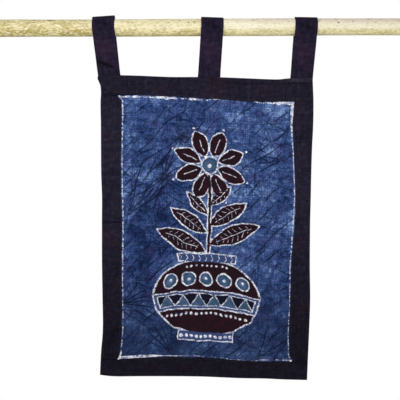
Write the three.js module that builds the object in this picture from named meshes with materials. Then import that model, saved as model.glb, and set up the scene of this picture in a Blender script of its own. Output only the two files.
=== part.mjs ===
// A batik wall hanging on its rod. A wax-resist cotton panel is framed by strips of dark cotton, and
// three straps sewn into the top strip loop over a peeled wooden rod.
//
// Frame: millimetres, +Z up, +X to the viewer's right and +Y away from the viewer. The origin is on
// the rod's axis, halfway along the rod. "Drop" is a distance straight down from there.

import * as THREE from "three";

const { lerp, smoothstep } = THREE.MathUtils;

// Driving dimensions
const ROD_LENGTH = 760;
const PANEL_THICKNESS = 1.2;
const STRIP_THICKNESS = 3;
const STRAP_WIDTH = 38;
const STRAP_THICKNESS = 1.5;
const SEAM_GAP = 0.3;
const STRAP_CLEARANCE = 0.3;
const PIECED_SEAM_DROP = 330.6;

// The rod is a peeled stick: its diameter and the height of its middle change a little along it.
const rodRows = [
  { along: -380, diameter: 29.4, rise: -1.4 },
  { along: -200, diameter: 28.8, rise: -1.0 },
  { along: -110, diameter: 29.6, rise: -0.7 },
  { along: 0, diameter: 29.4, rise: 0 },
  { along: 100, diameter: 29.7, rise: 0.3 },
  { along: 220, diameter: 28.6, rise: 1.0 },
  { along: 380, diameter: 28.8, rise: 0.9 },
];

// The side edges of the cloth and the widths of the strips there, going down.
const sideRows = [
  { drop: 78, left: -181.8, right: 182.2, leftStrip: 38, rightStrip: 33 },
  { drop: 87, left: -183.6, right: 182.2, leftStrip: 39, rightStrip: 33 },
  { drop: 94, left: -179.6, right: 182.3, leftStrip: 35, rightStrip: 33 },
  { drop: 104, left: -177.6, right: 182.8, leftStrip: 34.5, rightStrip: 33 },
  { drop: 128, left: -178.6, right: 183.6, leftStrip: 35.8, rightStrip: 33.4 },
  { drop: 164, left: -178, right: 183.2, leftStrip: 35.2, rightStrip: 35 },
  { drop: 206, left: -177.8, right: 181.2, leftStrip: 34.2, rightStrip: 31 },
  { drop: 250, left: -177.4, right: 179.8, leftStrip: 33.6, rightStrip: 27.6 },
  { drop: 290, left: -176, right: 179, leftStrip: 33.2, rightStrip: 25.4 },
  { drop: 331, left: -176.2, right: 178, leftStrip: 34.3, rightStrip: 26.4 },
  { drop: 404, left: -176, right: 177.5, leftStrip: 33.4, rightStrip: 31.4 },
  { drop: 464, left: -175, right: 178, leftStrip: 32.8, rightStrip: 33 },
  { drop: 514, left: -174.6, right: 176.4, leftStrip: 32, rightStrip: 33.6 },
  { drop: 556, left: -177.8, right: 174.6, leftStrip: 32, rightStrip: 31.8 },
  { drop: 600, left: -179.6, right: 172.8, leftStrip: 31.6, rightStrip: 31 },
];

// The top and bottom edges of the cloth and the heights of the strips there, going across.
const crossColumns = [
  { across: -185, top: 80.4, bottom: 589.6, topStrip: 34.6, bottomStrip: 28 },
  { across: -158, top: 80.8, bottom: 592.4, topStrip: 34.6, bottomStrip: 28.4 },
  { across: -112, top: 82, bottom: 592.7, topStrip: 33.6, bottomStrip: 31.6 },
  { across: -60, top: 84.1, bottom: 593.2, topStrip: 33.6, bottomStrip: 32.6 },
  { across: -20, top: 84.2, bottom: 593.7, topStrip: 35.7, bottomStrip: 32.6 },
  { across: 21, top: 84.5, bottom: 594.3, topStrip: 37.9, bottomStrip: 31.6 },
  { across: 62, top: 86.1, bottom: 595.8, topStrip: 39.4, bottomStrip: 30.6 },
  { across: 103, top: 87.8, bottom: 597, topStrip: 38.7, bottomStrip: 29.2 },
  { across: 124, top: 88.2, bottom: 598.2, topStrip: 38.4, bottomStrip: 30.2 },
  { across: 144, top: 86.4, bottom: 599.2, topStrip: 40.2, bottomStrip: 31 },
  { across: 185, top: 86.4, bottom: 600, topStrip: 40, bottomStrip: 31 },
];

// Soft folds: where each one crosses a level 350 mm below the rod, how far it leans for each
// millimetre further down, its half-width, how far it stands out and the drop where it starts.
const FOLD_LEVEL = 350;
const FOLD_FADE = 170;
const folds = [
  { across: -138, lean: -0.06, halfWidth: 34, push: 3.2, start: 150 },
  { across: -48, lean: 0.07, halfWidth: 48, push: -3.4, start: 110 },
  { across: 58, lean: -0.05, halfWidth: 40, push: 3.6, start: 210 },
  { across: 142, lean: 0.04, halfWidth: 30, push: -2.6, start: 130 },
];

// The straps: their middles where they cross the rod and where they enter the top seam, and how
// high the pressed crease of each stands over the top of the rod, at its two edges.
const straps = [
  { name: "tab_left", atRod: -173.2, atSeam: -163.8, crownLeft: 4.6, crownRight: 7.2 },
  { name: "tab_middle", atRod: 11.5, atSeam: 6, crownLeft: 3.4, crownRight: 2 },
  { name: "tab_right", atRod: 170.6, atSeam: 163.2, crownLeft: 2.6, crownRight: 2 },
];

// Steps of each piece's mesh
const ROD_SIDES = 20;
const ROD_STEPS = 38;
const PANEL_STEPS = { across: 20, down: 28 };
const STRIP_STEPS = { along: 30, across: 3 };
const STRAP_STEPS = { along: 56, across: 4 };

// A smooth curve through one column of a table, read at a place along its first column.
function read(rows, place, column, at) {
  let i = rows.findIndex((row) => row[place] >= at);
  if (i < 0) i = rows.length - 1;
  if (i === 0) i = 1;
  const [a, b] = [rows[i - 1], rows[i]];
  const before = rows[i - 2] ?? a;
  const after = rows[i + 1] ?? b;
  const step = b[place] - a[place];
  const slopeA = ((b[column] - before[column]) / (b[place] - before[place])) * step;
  const slopeB = ((after[column] - a[column]) / (after[place] - a[place])) * step;
  const t = THREE.MathUtils.clamp((at - a[place]) / step, 0, 1);
  const rise = t * t * (3 - 2 * t);
  const bulgeA = t * (1 - t) * (1 - t) * slopeA;
  const bulgeB = t * t * (t - 1) * slopeB;
  return lerp(a[column], b[column], rise) + bulgeA + bulgeB;
}

const atDrop = (column) => (drop) => read(sideRows, "drop", column, drop);
const atAcross = (column) => (x) => read(crossColumns, "across", column, x);

const leftEdge = atDrop("left");
const rightEdge = atDrop("right");
const topEdge = atAcross("top");
const bottomEdge = atAcross("bottom");
const leftSeam = (drop) => leftEdge(drop) + atDrop("leftStrip")(drop);
const rightSeam = (drop) => rightEdge(drop) - atDrop("rightStrip")(drop);
const topSeam = (x) => topEdge(x) + atAcross("topStrip")(x);
const bottomSeam = (x) => bottomEdge(x) - atAcross("bottomStrip")(x);

// How far the hanging cloth stands towards the viewer (negative) or away (positive).
function depth(x, drop) {
  let y = 0;
  for (const fold of folds) {
    const middle = fold.across + fold.lean * (drop - FOLD_LEVEL);
    const away = (x - middle) / fold.halfWidth;
    y -= fold.push * Math.exp(-away * away) * smoothstep(drop, fold.start, fold.start + FOLD_FADE);
  }
  return y;
}

// Moves each vertex of a box of size 1 by a rule that takes its three shares, each from 0 to 1.
function shaped(steps, rule) {
  const box = new THREE.BoxGeometry(1, 1, 1, steps[0], steps[1], steps[2]);
  const place = box.getAttribute("position");
  for (let i = 0; i < place.count; i++) {
    const shares = [place.getX(i) + 0.5, place.getY(i) + 0.5, place.getZ(i) + 0.5];
    place.setXYZ(i, ...rule(...shares));
  }
  box.computeVertexNormals();
  return box;
}

// A piece of hanging cloth between two side lines, given as x for a drop, and two level lines,
// given as a drop for x. The rounds settle the crossing of the lines, which depend on each other.
const CROSSING_ROUNDS = 4;
function cloth(lines, thickness, steps) {
  return shaped([steps.across, steps.down, 1], (across, up, front) => {
    let x = 0;
    let drop = lerp(lines.top(x), lines.bottom(x), 1 - up);
    for (let round = 0; round < CROSSING_ROUNDS; round++) {
      x = lerp(lines.left(drop), lines.right(drop), across);
      drop = lerp(lines.top(x), lines.bottom(x), 1 - up);
    }
    return [x, depth(x, drop) + (0.5 - front) * thickness, -drop];
  });
}

// A line moved by half the gap that neighbouring pieces keep.
const moved = (line, by) => (at) => line(at) + by;
const HALF_GAP = SEAM_GAP / 2;

function batikPanel() {
  const lines = {
    left: moved(leftSeam, HALF_GAP),
    right: moved(rightSeam, -HALF_GAP),
    top: moved(topSeam, HALF_GAP),
    bottom: moved(bottomSeam, -HALF_GAP),
  };
  return cloth(lines, PANEL_THICKNESS, PANEL_STEPS);
}

function crossStrip(top, bottom) {
  const lines = { left: leftEdge, right: rightEdge, top, bottom };
  return cloth(lines, STRIP_THICKNESS, { across: STRIP_STEPS.along, down: STRIP_STEPS.across });
}

function sideStrip(left, right, top, bottom, share) {
  const lines = { left, right, top, bottom };
  const down = Math.round(STRIP_STEPS.along * share);
  return cloth(lines, STRIP_THICKNESS, { across: STRIP_STEPS.across, down });
}

const rodRadius = (x) => read(rodRows, "along", "diameter", x) / 2;
const rodRise = (x) => read(rodRows, "along", "rise", x);

function rod() {
  const bar = new THREE.CylinderGeometry(1, 1, ROD_LENGTH, ROD_SIDES, ROD_STEPS);
  bar.rotateZ(Math.PI / 2);
  const place = bar.getAttribute("position");
  for (let i = 0; i < place.count; i++) {
    const x = place.getX(i);
    const y = place.getY(i) * rodRadius(x);
    const z = place.getZ(i) * rodRadius(x) + rodRise(x);
    place.setXYZ(i, x, y, z);
  }
  bar.computeVertexNormals();
  return bar;
}

// The middle line of a strap seen along the rod, from the front of the top seam over the rod to the
// back of it: a straight leg, round the rod, up to the pressed crease, and the same behind.
function strapLine(strap, across) {
  const barRadius = rodRadius(strap.atRod);
  const radius = barRadius + STRAP_CLEARANCE + STRAP_THICKNESS / 2;
  const seamZ = -topEdge(strap.atSeam) + SEAM_GAP - rodRise(strap.atRod);
  const seamY = (STRAP_THICKNESS + SEAM_GAP) / 2;
  // The straight leg touches the circle round the rod at this angle below the level.
  const reach = Math.hypot(seamY, seamZ);
  const touch = Math.PI / 2 - (Math.acos(radius / reach) - Math.atan2(seamY, -seamZ));
  // Near the top the strap leaves the circle along its tangents, which meet above the crease.
  const crown = lerp(strap.crownLeft, strap.crownRight, across);
  const peak = (barRadius + crown - STRAP_THICKNESS / 2) / radius;
  const cosLift = peak - Math.sqrt(peak * peak - 1);
  const lift = Math.acos(cosLift);
  const line = new THREE.Path();
  line.moveTo(-seamY, seamZ);
  line.lineTo(-radius * Math.cos(touch), -radius * Math.sin(touch));
  line.absarc(0, 0, radius, Math.PI + touch, Math.PI / 2 + lift, true);
  line.quadraticCurveTo(0, radius / cosLift, radius * Math.sin(lift), radius * cosLift);
  line.absarc(0, 0, radius, Math.PI / 2 - lift, -touch, true);
  line.lineTo(seamY, seamZ);
  return line.getSpacedPoints(STRAP_STEPS.along);
}

function strapSolid(strap) {
  const lines = [];
  for (let i = 0; i <= STRAP_STEPS.across; i++) {
    lines.push(strapLine(strap, i / STRAP_STEPS.across));
  }
  return shaped([STRAP_STEPS.across, STRAP_STEPS.along, 1], (across, along, outer) => {
    const points = lines[Math.round(across * STRAP_STEPS.across)];
    const i = Math.round(along * STRAP_STEPS.along);
    const before = points[Math.max(i - 1, 0)];
    const after = points[Math.min(i + 1, STRAP_STEPS.along)];
    const way = new THREE.Vector2().subVectors(after, before).normalize();
    const out = (outer - 0.5) * STRAP_THICKNESS;
    // The strap is square to the rod where it lies on it, and leans on its way down to the seam.
    const down = THREE.MathUtils.clamp(points[i].y / points[0].y, 0, 1);
    const x = lerp(strap.atRod, strap.atSeam, down) + (across - 0.5) * STRAP_WIDTH;
    const y = points[i].x - way.y * out;
    const slant = (topEdge(x) - topEdge(strap.atSeam)) * down;
    const z = points[i].y + way.x * out + rodRise(strap.atRod) - slant;
    return [x, y, z];
  });
}

const rodWood = new THREE.MeshStandardMaterial({ color: 0xe2d8b0, roughness: 0.6, metalness: 0 });
const darkCotton = new THREE.MeshStandardMaterial({ color: 0x221d2d, roughness: 0.95, metalness: 0 });
const batikCotton = new THREE.MeshStandardMaterial({ color: 0x3a4a78, roughness: 0.9, metalness: 0 });

const hanging = new THREE.Group();

function add(name, geometry, material) {
  const piece = new THREE.Mesh(geometry, material);
  piece.name = name;
  hanging.add(piece);
}

add("rod", rod(), rodWood);
add("batik_panel", batikPanel(), batikCotton);
add("border_top", crossStrip(topEdge, moved(topSeam, -HALF_GAP)), darkCotton);
add("border_bottom", crossStrip(moved(bottomSeam, HALF_GAP), bottomEdge), darkCotton);

const underTop = moved(topSeam, HALF_GAP);
const overBottom = moved(bottomSeam, -HALF_GAP);
const besideLeft = moved(leftSeam, -HALF_GAP);
const besideRight = moved(rightSeam, HALF_GAP);
const overPiecing = () => PIECED_SEAM_DROP - HALF_GAP;
const underPiecing = () => PIECED_SEAM_DROP + HALF_GAP;
const halfStrip = 0.5;
add(
  "border_left_upper",
  sideStrip(leftEdge, besideLeft, underTop, overPiecing, halfStrip),
  darkCotton,
);
add(
  "border_left_lower",
  sideStrip(leftEdge, besideLeft, underPiecing, overBottom, halfStrip),
  darkCotton,
);
add("border_right", sideStrip(besideRight, rightEdge, underTop, overBottom, 1), darkCotton);

for (const strap of straps) add(strap.name, strapSolid(strap), darkCotton);

export default hanging;
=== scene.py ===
# %% [markdown]
# # A batik wall hanging
#
# A batik is cotton drawn on with hot wax and dyed: the dye can't reach the cloth under the wax, so
# every line stays white, and where the wax cracks, the dye runs in and leaves fine dark veins.
# This one is framed by strips of dark cotton and hangs from a peeled rod by three cloth loops.
#
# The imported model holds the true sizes. This script keeps its shapes and dresses them: each strip
# of cloth is rebuilt finer on the same folds, and every colour is made by nodes.

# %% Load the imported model
import math

import bmesh
import bpy
import numpy as np
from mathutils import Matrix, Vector, noise
from mathutils.bvhtree import BVHTree


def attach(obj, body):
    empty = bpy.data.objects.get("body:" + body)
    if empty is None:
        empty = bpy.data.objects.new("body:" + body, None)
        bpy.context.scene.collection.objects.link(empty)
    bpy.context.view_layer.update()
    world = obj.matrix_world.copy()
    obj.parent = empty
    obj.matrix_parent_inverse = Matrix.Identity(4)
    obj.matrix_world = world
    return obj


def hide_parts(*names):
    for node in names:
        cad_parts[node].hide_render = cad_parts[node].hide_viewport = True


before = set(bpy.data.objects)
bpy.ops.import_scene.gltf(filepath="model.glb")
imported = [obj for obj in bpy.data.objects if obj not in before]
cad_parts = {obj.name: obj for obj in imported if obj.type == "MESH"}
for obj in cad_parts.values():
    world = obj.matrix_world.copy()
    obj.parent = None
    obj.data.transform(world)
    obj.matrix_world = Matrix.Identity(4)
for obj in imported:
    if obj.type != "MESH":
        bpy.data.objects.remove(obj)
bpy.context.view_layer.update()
print("nodes to dress:", sorted(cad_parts))

# %% [markdown]
# ## Camera, light and floor
#
# The photograph was taken straight on, so the camera looks along +Y at the middle of the frame. A
# long lens keeps the side edges parallel. The frame is 680 mm wide where the cloth hangs, and the
# lens then fixes how far back the camera stands.
#
# Big area lights are soft like the panels of a photo studio. The main one stands in front and to
# the left, a little above the rod, so the rod and the top of the cloth are brighter than the hem
# and each fold has a light and a dark side. A weaker one fills from the right and lifts the rod's
# underside. The world is a flat grey that fills the shadows, and only the camera sees it as white.

# %% Camera
FRAME_WIDTH = 0.68
FRAME_MIDDLE = Vector((-0.0094, 0.0, -0.2933))
LENS_MM = 100

camera_data = bpy.data.cameras.new("camera")
camera_data.lens = LENS_MM
camera_data.dof.use_dof = False
camera = bpy.data.objects.new("camera", camera_data)
distance = FRAME_WIDTH * LENS_MM / camera_data.sensor_width
camera.location = FRAME_MIDDLE - Vector((0, distance, 0))
camera.rotation_euler = (math.pi / 2, 0, 0)
bpy.context.scene.collection.objects.link(camera)
bpy.context.scene.camera = camera
print(f"camera {distance:.3f} m from the cloth")

# %% Lights
LIGHT_TARGET = Vector((0, 0, -0.05))


def soft_light(name, place, size, power):
    data = bpy.data.lights.new(name, "AREA")
    data.shape = "RECTANGLE"
    data.size, data.size_y = size
    data.energy = power
    light = bpy.data.objects.new(name, data)
    light.location = place
    light.rotation_euler = (LIGHT_TARGET - light.location).to_track_quat("-Z", "Y").to_euler()
    light.visible_camera = False
    bpy.context.scene.collection.objects.link(light)


soft_light("key_light", Vector((-0.32, -1.0, 0.24)), (0.8, 0.5), 9.2)
soft_light("fill_light", Vector((1.0, -1.25, -0.2)), (1.0, 0.8), 5.2)
soft_light("top_light", Vector((0.0, -0.15, 0.95)), (1.4, 0.5), 1)
soft_light("back_light", Vector((0.2, 1.5, 0.5)), (1.6, 1.2), 14)
print("lights:", [light.name for light in bpy.data.lights])

# %% World
WORLD_GREY = (0.92, 0.93, 0.95, 1)
WORLD_STRENGTH = 0.22
world = bpy.data.worlds.new("studio")
world.use_nodes = True
sky = world.node_tree
sky.nodes.clear()
seen = sky.nodes.new("ShaderNodeBackground")
seen.inputs["Color"].default_value = (1, 1, 1, 1)
lighting = sky.nodes.new("ShaderNodeBackground")
lighting.inputs["Color"].default_value = WORLD_GREY
lighting.inputs["Strength"].default_value = WORLD_STRENGTH
rays = sky.nodes.new("ShaderNodeLightPath")
choose = sky.nodes.new("ShaderNodeMixShader")
world_out = sky.nodes.new("ShaderNodeOutputWorld")
sky.links.new(rays.outputs["Is Camera Ray"], choose.inputs[0])
sky.links.new(lighting.outputs[0], choose.inputs[1])
sky.links.new(seen.outputs[0], choose.inputs[2])
sky.links.new(choose.outputs[0], world_out.inputs["Surface"])
bpy.context.scene.world = world
bpy.context.scene.view_settings.view_transform = "Standard"
print(f"world: white to the camera, grey of strength {WORLD_STRENGTH} to everything else")

# %% Floor
FLOOR_DROP = 0.86
FLOOR_HALF = (1.1, 0.9)
floor_mesh = bpy.data.meshes.new("floor")
floor_corners = [(-1, -1), (1, -1), (1, 1), (-1, 1)]
floor_mesh.from_pydata(
    [(x * FLOOR_HALF[0], y * FLOOR_HALF[1], -FLOOR_DROP) for x, y in floor_corners],
    [],
    [(0, 1, 2, 3)],
)
floor = bpy.data.objects.new("floor", floor_mesh)
floor_paint = bpy.data.materials.new("floor paint")
floor_paint.use_nodes = True
floor_shader = floor_paint.node_tree.nodes["Principled BSDF"]
floor_shader.inputs["Base Color"].default_value = (0.85, 0.85, 0.85, 1)
floor_shader.inputs["Roughness"].default_value = 0.9
floor_shader.inputs["Emission Color"].default_value = (1, 1, 1, 1)
floor_shader.inputs["Emission Strength"].default_value = 0.25
floor_mesh.materials.append(floor_paint)
bpy.context.scene.collection.objects.link(floor)
print(f"floor {FLOOR_DROP} m below the rod")

# %% [markdown]
# ## The pattern that the cloth was cut and sewn to
#
# Hand-sewn edges are never straight. A dressmaker would note the outline as a few measures down
# each side and across the top and hem, and so does this table, in millimetres from the rod's axis:
# "drop" is a distance straight down. A smooth curve runs through each column.

# %% Tables of the outline
MM = 0.001
MM_IN_A_METRE = 1000


def columns(names, rows):
    return dict(zip(names.split(), np.array(rows, float).T))


side = columns("drop left right left_strip right_strip", [
    (78, -181.8, 182.2, 38, 33),
    (87, -183.6, 182.2, 39, 33),
    (94, -179.6, 182.3, 35, 33),
    (104, -177.6, 182.8, 34.5, 33),
    (128, -178.6, 183.6, 35.8, 33.4),
    (164, -178, 183.2, 35.2, 35),
    (206, -177.8, 181.2, 34.2, 31),
    (250, -177.4, 179.8, 33.6, 27.6),
    (290, -176, 179, 33.2, 25.4),
    (331, -176.2, 178, 34.3, 26.4),
    (404, -176, 177.5, 33.4, 31.4),
    (464, -175, 178, 32.8, 33),
    (514, -174.6, 176.4, 32, 33.6),
    (556, -177.8, 174.6, 32, 31.8),
    (600, -179.6, 172.8, 31.6, 31),
])
level = columns("across top bottom top_strip bottom_strip", [
    (-185, 80.4, 589.6, 34.6, 28),
    (-158, 80.8, 592.4, 34.6, 28.4),
    (-112, 82, 592.7, 33.6, 31.6),
    (-60, 84.1, 593.2, 33.6, 32.6),
    (-20, 84.2, 593.7, 35.7, 32.6),
    (21, 84.5, 594.3, 37.9, 31.6),
    (62, 86.1, 595.8, 39.4, 30.6),
    (103, 87.8, 597, 38.7, 29.2),
    (124, 88.2, 598.2, 38.4, 30.2),
    (144, 86.4, 599.2, 40.2, 31),
    (185, 86.4, 600, 40, 31),
])
stick = columns("along diameter rise", [
    (-380, 29.4, -1.4),
    (-200, 28.8, -1.0),
    (-110, 29.6, -0.7),
    (0, 29.4, 0),
    (100, 29.7, 0.3),
    (220, 28.6, 1.0),
    (380, 28.8, 0.9),
])
print(f"{len(side['drop'])} measures down the sides, {len(level['across'])} across")

# %% Smooth curves through the tables


def curve(places, values):
    """A smooth curve through a table's column, as a function of the place along its first."""
    before = np.r_[0, 0:len(places) - 1]
    after = np.r_[1:len(places), len(places) - 1]
    slopes = (values[after] - values[before]) / (places[after] - places[before])

    def at(place):
        place = np.clip(place, places[0], places[-1])
        i = np.clip(np.searchsorted(places, place, side="right") - 1, 0, len(places) - 2)
        step = places[i + 1] - places[i]
        t = (place - places[i]) / step
        rise = t * t * (3 - 2 * t)
        bulge = t * (1 - t) ** 2 * slopes[i] - t * t * (1 - t) * slopes[i + 1]
        return values[i] + (values[i + 1] - values[i]) * rise + bulge * step

    return at


def blend(a, b, share):
    return a + (b - a) * share


def eased(value, start, end):
    """0 before start, 1 after end, and smooth between them."""
    t = np.clip((value - start) / (end - start), 0, 1)
    return t * t * (3 - 2 * t)


def bump(value, middle, half_width):
    return np.exp(-(((value - middle) / half_width) ** 2))


# %% Edges of the cloth and the rod
left_edge = curve(side["drop"], side["left"])
right_edge = curve(side["drop"], side["right"])
left_strip = curve(side["drop"], side["left_strip"])
right_strip = curve(side["drop"], side["right_strip"])
top_edge = curve(level["across"], level["top"])
bottom_edge = curve(level["across"], level["bottom"])
top_strip = curve(level["across"], level["top_strip"])
bottom_strip = curve(level["across"], level["bottom_strip"])
rod_diameter = curve(stick["along"], stick["diameter"])
rod_rise = curve(stick["along"], stick["rise"])
print(f"cloth {float(right_edge(300) - left_edge(300)):.0f} mm wide halfway down")

# %% Seams round the window
# At the window's corners the panel shows a little further out. Each corner: its drop and how far.
EAR_HEIGHT = 4.5
EARS = {
    "top_left": (117, 5.5),
    "bottom_left": (563, 3),
    "top_right": (122, 2),
    "bottom_right": (566, 5),
}


def ear(drop, corner):
    at, reach = EARS[corner]
    return reach * bump(drop, at, EAR_HEIGHT)


def left_seam(drop):
    return left_edge(drop) + left_strip(drop) - ear(drop, "top_left") - ear(drop, "bottom_left")


def right_seam(drop):
    return right_edge(drop) - right_strip(drop) + ear(drop, "top_right") + ear(drop, "bottom_right")


def top_seam(x):
    return top_edge(x) + top_strip(x)


def bottom_seam(x):
    return bottom_edge(x) - bottom_strip(x)


WINDOW_WIDTH = float(np.mean(right_seam(side["drop"][4:-2]) - left_seam(side["drop"][4:-2])))
WINDOW_HEIGHT = float(np.mean(bottom_seam(level["across"]) - top_seam(level["across"])))
print(f"batik window about {WINDOW_WIDTH:.0f} by {WINDOW_HEIGHT:.0f} mm")

# %% [markdown]
# ## How the cloth hangs
#
# A flat cloth on a rod never hangs as a flat board: long soft folds run down from the loops and
# grow towards the hem. Each fold here is one row: where it is, how it leans, how wide it is, how
# far it stands out and where it starts. Finer unevenness comes from a smooth noise.
#
# A simulation could drape it too, but this cloth hangs nearly flat, and placing four folds one by
# one keeps them where the photograph has them and gives the same cloth each time.

# %% Folds and fine unevenness
FOLD_LEVEL = 350
FOLD_FADE = 170
folds = columns("across lean half_width push start", [
    (-138, -0.06, 34, 3.2, 150),
    (-48, 0.07, 48, -3.4, 110),
    (58, -0.05, 40, 3.6, 210),
    (142, 0.04, 30, -2.6, 130),
])
SOFT_NOISE = {"scale": 55.0, "height": 0.9}
FINE_NOISE = {"scale": 16.0, "height": 0.22}
# The seam with the loops holds the cloth flat down to the first drop. Past the second it is free.
HELD_TO, FREE_FROM = 90, 200


def smooth_noise(x, z, scale, height):
    """A smooth random height for each pair of places, the same in each run."""
    flat = np.stack([np.ravel(x), np.ravel(z)], axis=1) / scale
    values = [noise.noise(Vector((a, b, 0.37))) for a, b in flat]
    return np.reshape(values, np.shape(x)) * height


def hang(x, drop):
    """How far the middle of the cloth stands away from the viewer, in mm."""
    y = np.zeros(np.shape(x))
    for across, lean, half_width, push, start in zip(*folds.values()):
        middle = across + lean * (drop - FOLD_LEVEL)
        y -= push * bump(x, middle, half_width) * eased(drop, start, start + FOLD_FADE)
    loose = eased(drop, HELD_TO, FREE_FROM)
    y += smooth_noise(x, drop, **SOFT_NOISE) * loose
    y += smooth_noise(x, drop, **FINE_NOISE) * loose
    return y


print(f"{len(folds['push'])} folds, the deepest {np.abs(folds['push']).max()} mm")

# %% [markdown]
# ## From rings of points to closed meshes
#
# A strip of folded cloth is one cross-section carried along a line, and so are a cloth loop and a
# stick. One helper takes the rings of points in order, joins each ring to the next and closes both
# ends, so that every piece is a closed solid. It also writes a UV map: the place on the flat
# cloth, in metres, which the weave and the dye follow. A second value, "wear_and_painted_light", is
# above zero where the cloth is pale, rubbed and partly a painted highlight, as on its folded edges,
# and below zero where painted shade darkens it: in creases, in seams and in the grooves of the
# stitches.

# %% Mesh helpers
SHARP_FROM = 60


def make_object(name, points, faces, flat=None, wear_and_painted_light=None):
    """A smooth closed mesh from points in mm, with its place on the flat cloth as a UV map."""
    mesh = bpy.data.meshes.new(name)
    mesh.from_pydata((np.reshape(points, (-1, 3)) * MM).tolist(), [], faces)
    mesh.validate()
    corner_points = np.zeros(len(mesh.loops), int)
    mesh.loops.foreach_get("vertex_index", corner_points)
    if flat is not None:
        uv = mesh.uv_layers.new(name="Cloth")
        uv.data.foreach_set("uv", (np.reshape(flat, (-1, 2)) * MM)[corner_points].ravel())
    if wear_and_painted_light is not None:
        layer = mesh.attributes.new("wear_and_painted_light", "FLOAT", "POINT")
        layer.data.foreach_set("value", np.ravel(wear_and_painted_light))
    mesh.polygons.foreach_set("use_smooth", np.ones(len(mesh.polygons), bool))
    mesh.set_sharp_from_angle(angle=math.radians(SHARP_FROM))
    made = bpy.data.objects.new(name, mesh)
    bpy.context.scene.collection.objects.link(made)
    return made


def rings_to_faces(stations, around):
    """Faces of a closed loft: a band between each ring and the next, and a cap on each end."""
    i, k = np.meshgrid(np.arange(stations - 1), np.arange(around), indexing="ij")
    after = (k + 1) % around
    bands = np.stack([i * around + k, i * around + after, (i + 1) * around + after,
                      (i + 1) * around + k], axis=-1).reshape(-1, 4).tolist()
    first = list(range(around))[::-1]
    last = [(stations - 1) * around + k for k in range(around)]
    return bands + [first, last]


def face_out(piece):
    """Turns a closed mesh's faces outwards."""
    work = bmesh.new()
    work.from_mesh(piece.data)
    bmesh.ops.recalc_face_normals(work, faces=work.faces)
    work.to_mesh(piece.data)
    work.free()


def spaced(length, fine, coarse, zone):
    """Places from 0 to length: fine steps within a zone at each end and coarse ones between."""
    count = max(int(round((length - 2 * zone) / coarse)), 1)
    ends = np.arange(0, zone, fine)
    middle = np.linspace(zone, length - zone, count + 1)
    return np.concatenate([ends, middle, (length - ends)[::-1]])


# %% [markdown]
# ## The batik panel
#
# The panel is one thin piece of cotton. Its raw edges run a few millimetres into the strips, as a
# seam allowance does, so no gap shows however close one looks. The stitches pull little puckers
# into it along the seams, and they die out within two fingers' width.

# %% Places and puckers of the panel
PANEL_THICKNESS = 0.5
PANEL_STEPS = {"fine": 1.0, "coarse": 2.9}
FINE_AT_SIDES = 8
FINE_AT_LEVEL_SEAMS = 16
SEAM_TUCK = 3.5
SEAM_HOLD = 5
PUCKER = {"height": 0.4, "reach": 9, "pitch": 15}
CROSSING_ROUNDS = 4


def panel_place(across, down):
    """x and drop of a place on the panel, from its shares across and down, seam edges and all."""
    drop = blend(top_seam(0.0), bottom_seam(0.0), down) + 0 * across
    for _ in range(CROSSING_ROUNDS):
        x = blend(left_seam(drop) - SEAM_TUCK, right_seam(drop) + SEAM_TUCK, across)
        drop = blend(top_seam(x) - SEAM_TUCK, bottom_seam(x) + SEAM_TUCK, down)
    return x, drop


def puckers(distance, along):
    wave = np.sin(2 * math.pi * (along + smooth_noise(along, distance, 40, 14)) / PUCKER["pitch"])
    return PUCKER["height"] * wave * np.exp(-distance / PUCKER["reach"])


# %% Build the panel


def build_panel():
    width = WINDOW_WIDTH + 2 * SEAM_TUCK
    height = WINDOW_HEIGHT + 2 * SEAM_TUCK
    u_places = spaced(width, zone=FINE_AT_SIDES, **PANEL_STEPS)
    v_places = spaced(height, zone=FINE_AT_LEVEL_SEAMS, **PANEL_STEPS)
    u, v = np.meshgrid(u_places, v_places)
    x, drop = panel_place(u / width, v / height)
    to_seam = [np.maximum(d - SEAM_TUCK, 0) for d in (u, width - u, v, height - v)]
    y = hang(x, drop)
    y += puckers(to_seam[0], v) + puckers(to_seam[1], v + 40)
    y += puckers(to_seam[2], u + 80) + puckers(to_seam[3], u + 120)
    # Inside the seam the cloth lies flat between the strip's two folded edges.
    to_edge = np.minimum.reduce([u, width - u, v, height - v])
    held = 1 - eased(to_edge, SEAM_TUCK, SEAM_TUCK + SEAM_HOLD)
    y = blend(y, hang(x, drop), held)
    flat = np.stack([u - width / 2, height / 2 - v], axis=-1)
    front = np.stack([x, y - PANEL_THICKNESS / 2, -drop], axis=-1)
    back = front + [0, PANEL_THICKNESS, 0]
    rows, cols = u.shape
    grid = np.arange(rows * cols).reshape(rows, cols)
    quads = np.stack([grid[:-1, :-1], grid[1:, :-1], grid[1:, 1:], grid[:-1, 1:]], axis=-1)
    quads = quads.reshape(-1, 4)
    rim = np.concatenate([grid[0, :-1], grid[:-1, -1], grid[-1, :0:-1], grid[:0:-1, 0]])
    far = rows * cols
    after = np.roll(rim, -1)
    rims = np.stack([rim, after, after + far, rim + far], axis=-1)
    faces = quads.tolist() + (quads[:, ::-1] + far).tolist() + rims.tolist()
    panel = make_object("batik_cloth", np.stack([front, back]), faces, np.stack([flat, flat]))
    face_out(panel)
    return panel, (width * MM, height * MM)


panel, panel_cut = build_panel()
print(f"panel: {len(panel.data.vertices)} points, cut {panel_cut[0]:.3f} by {panel_cut[1]:.3f} m")

# %% [markdown]
# ## The strips
#
# Each strip is a length of cotton folded double over the panel's edge. Seen from its end it is a
# flat tube: a round fold outside, and inside two turned-in lips with the panel's edge between
# them. The top strip has lips on both long edges, because the ends of the loops are sewn in
# between them.
#
# The section is drawn once, as a half: distances from the outer edge, and how far the face stands
# out there. The back is its mirror image, so one list makes the whole closed ring.

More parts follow.
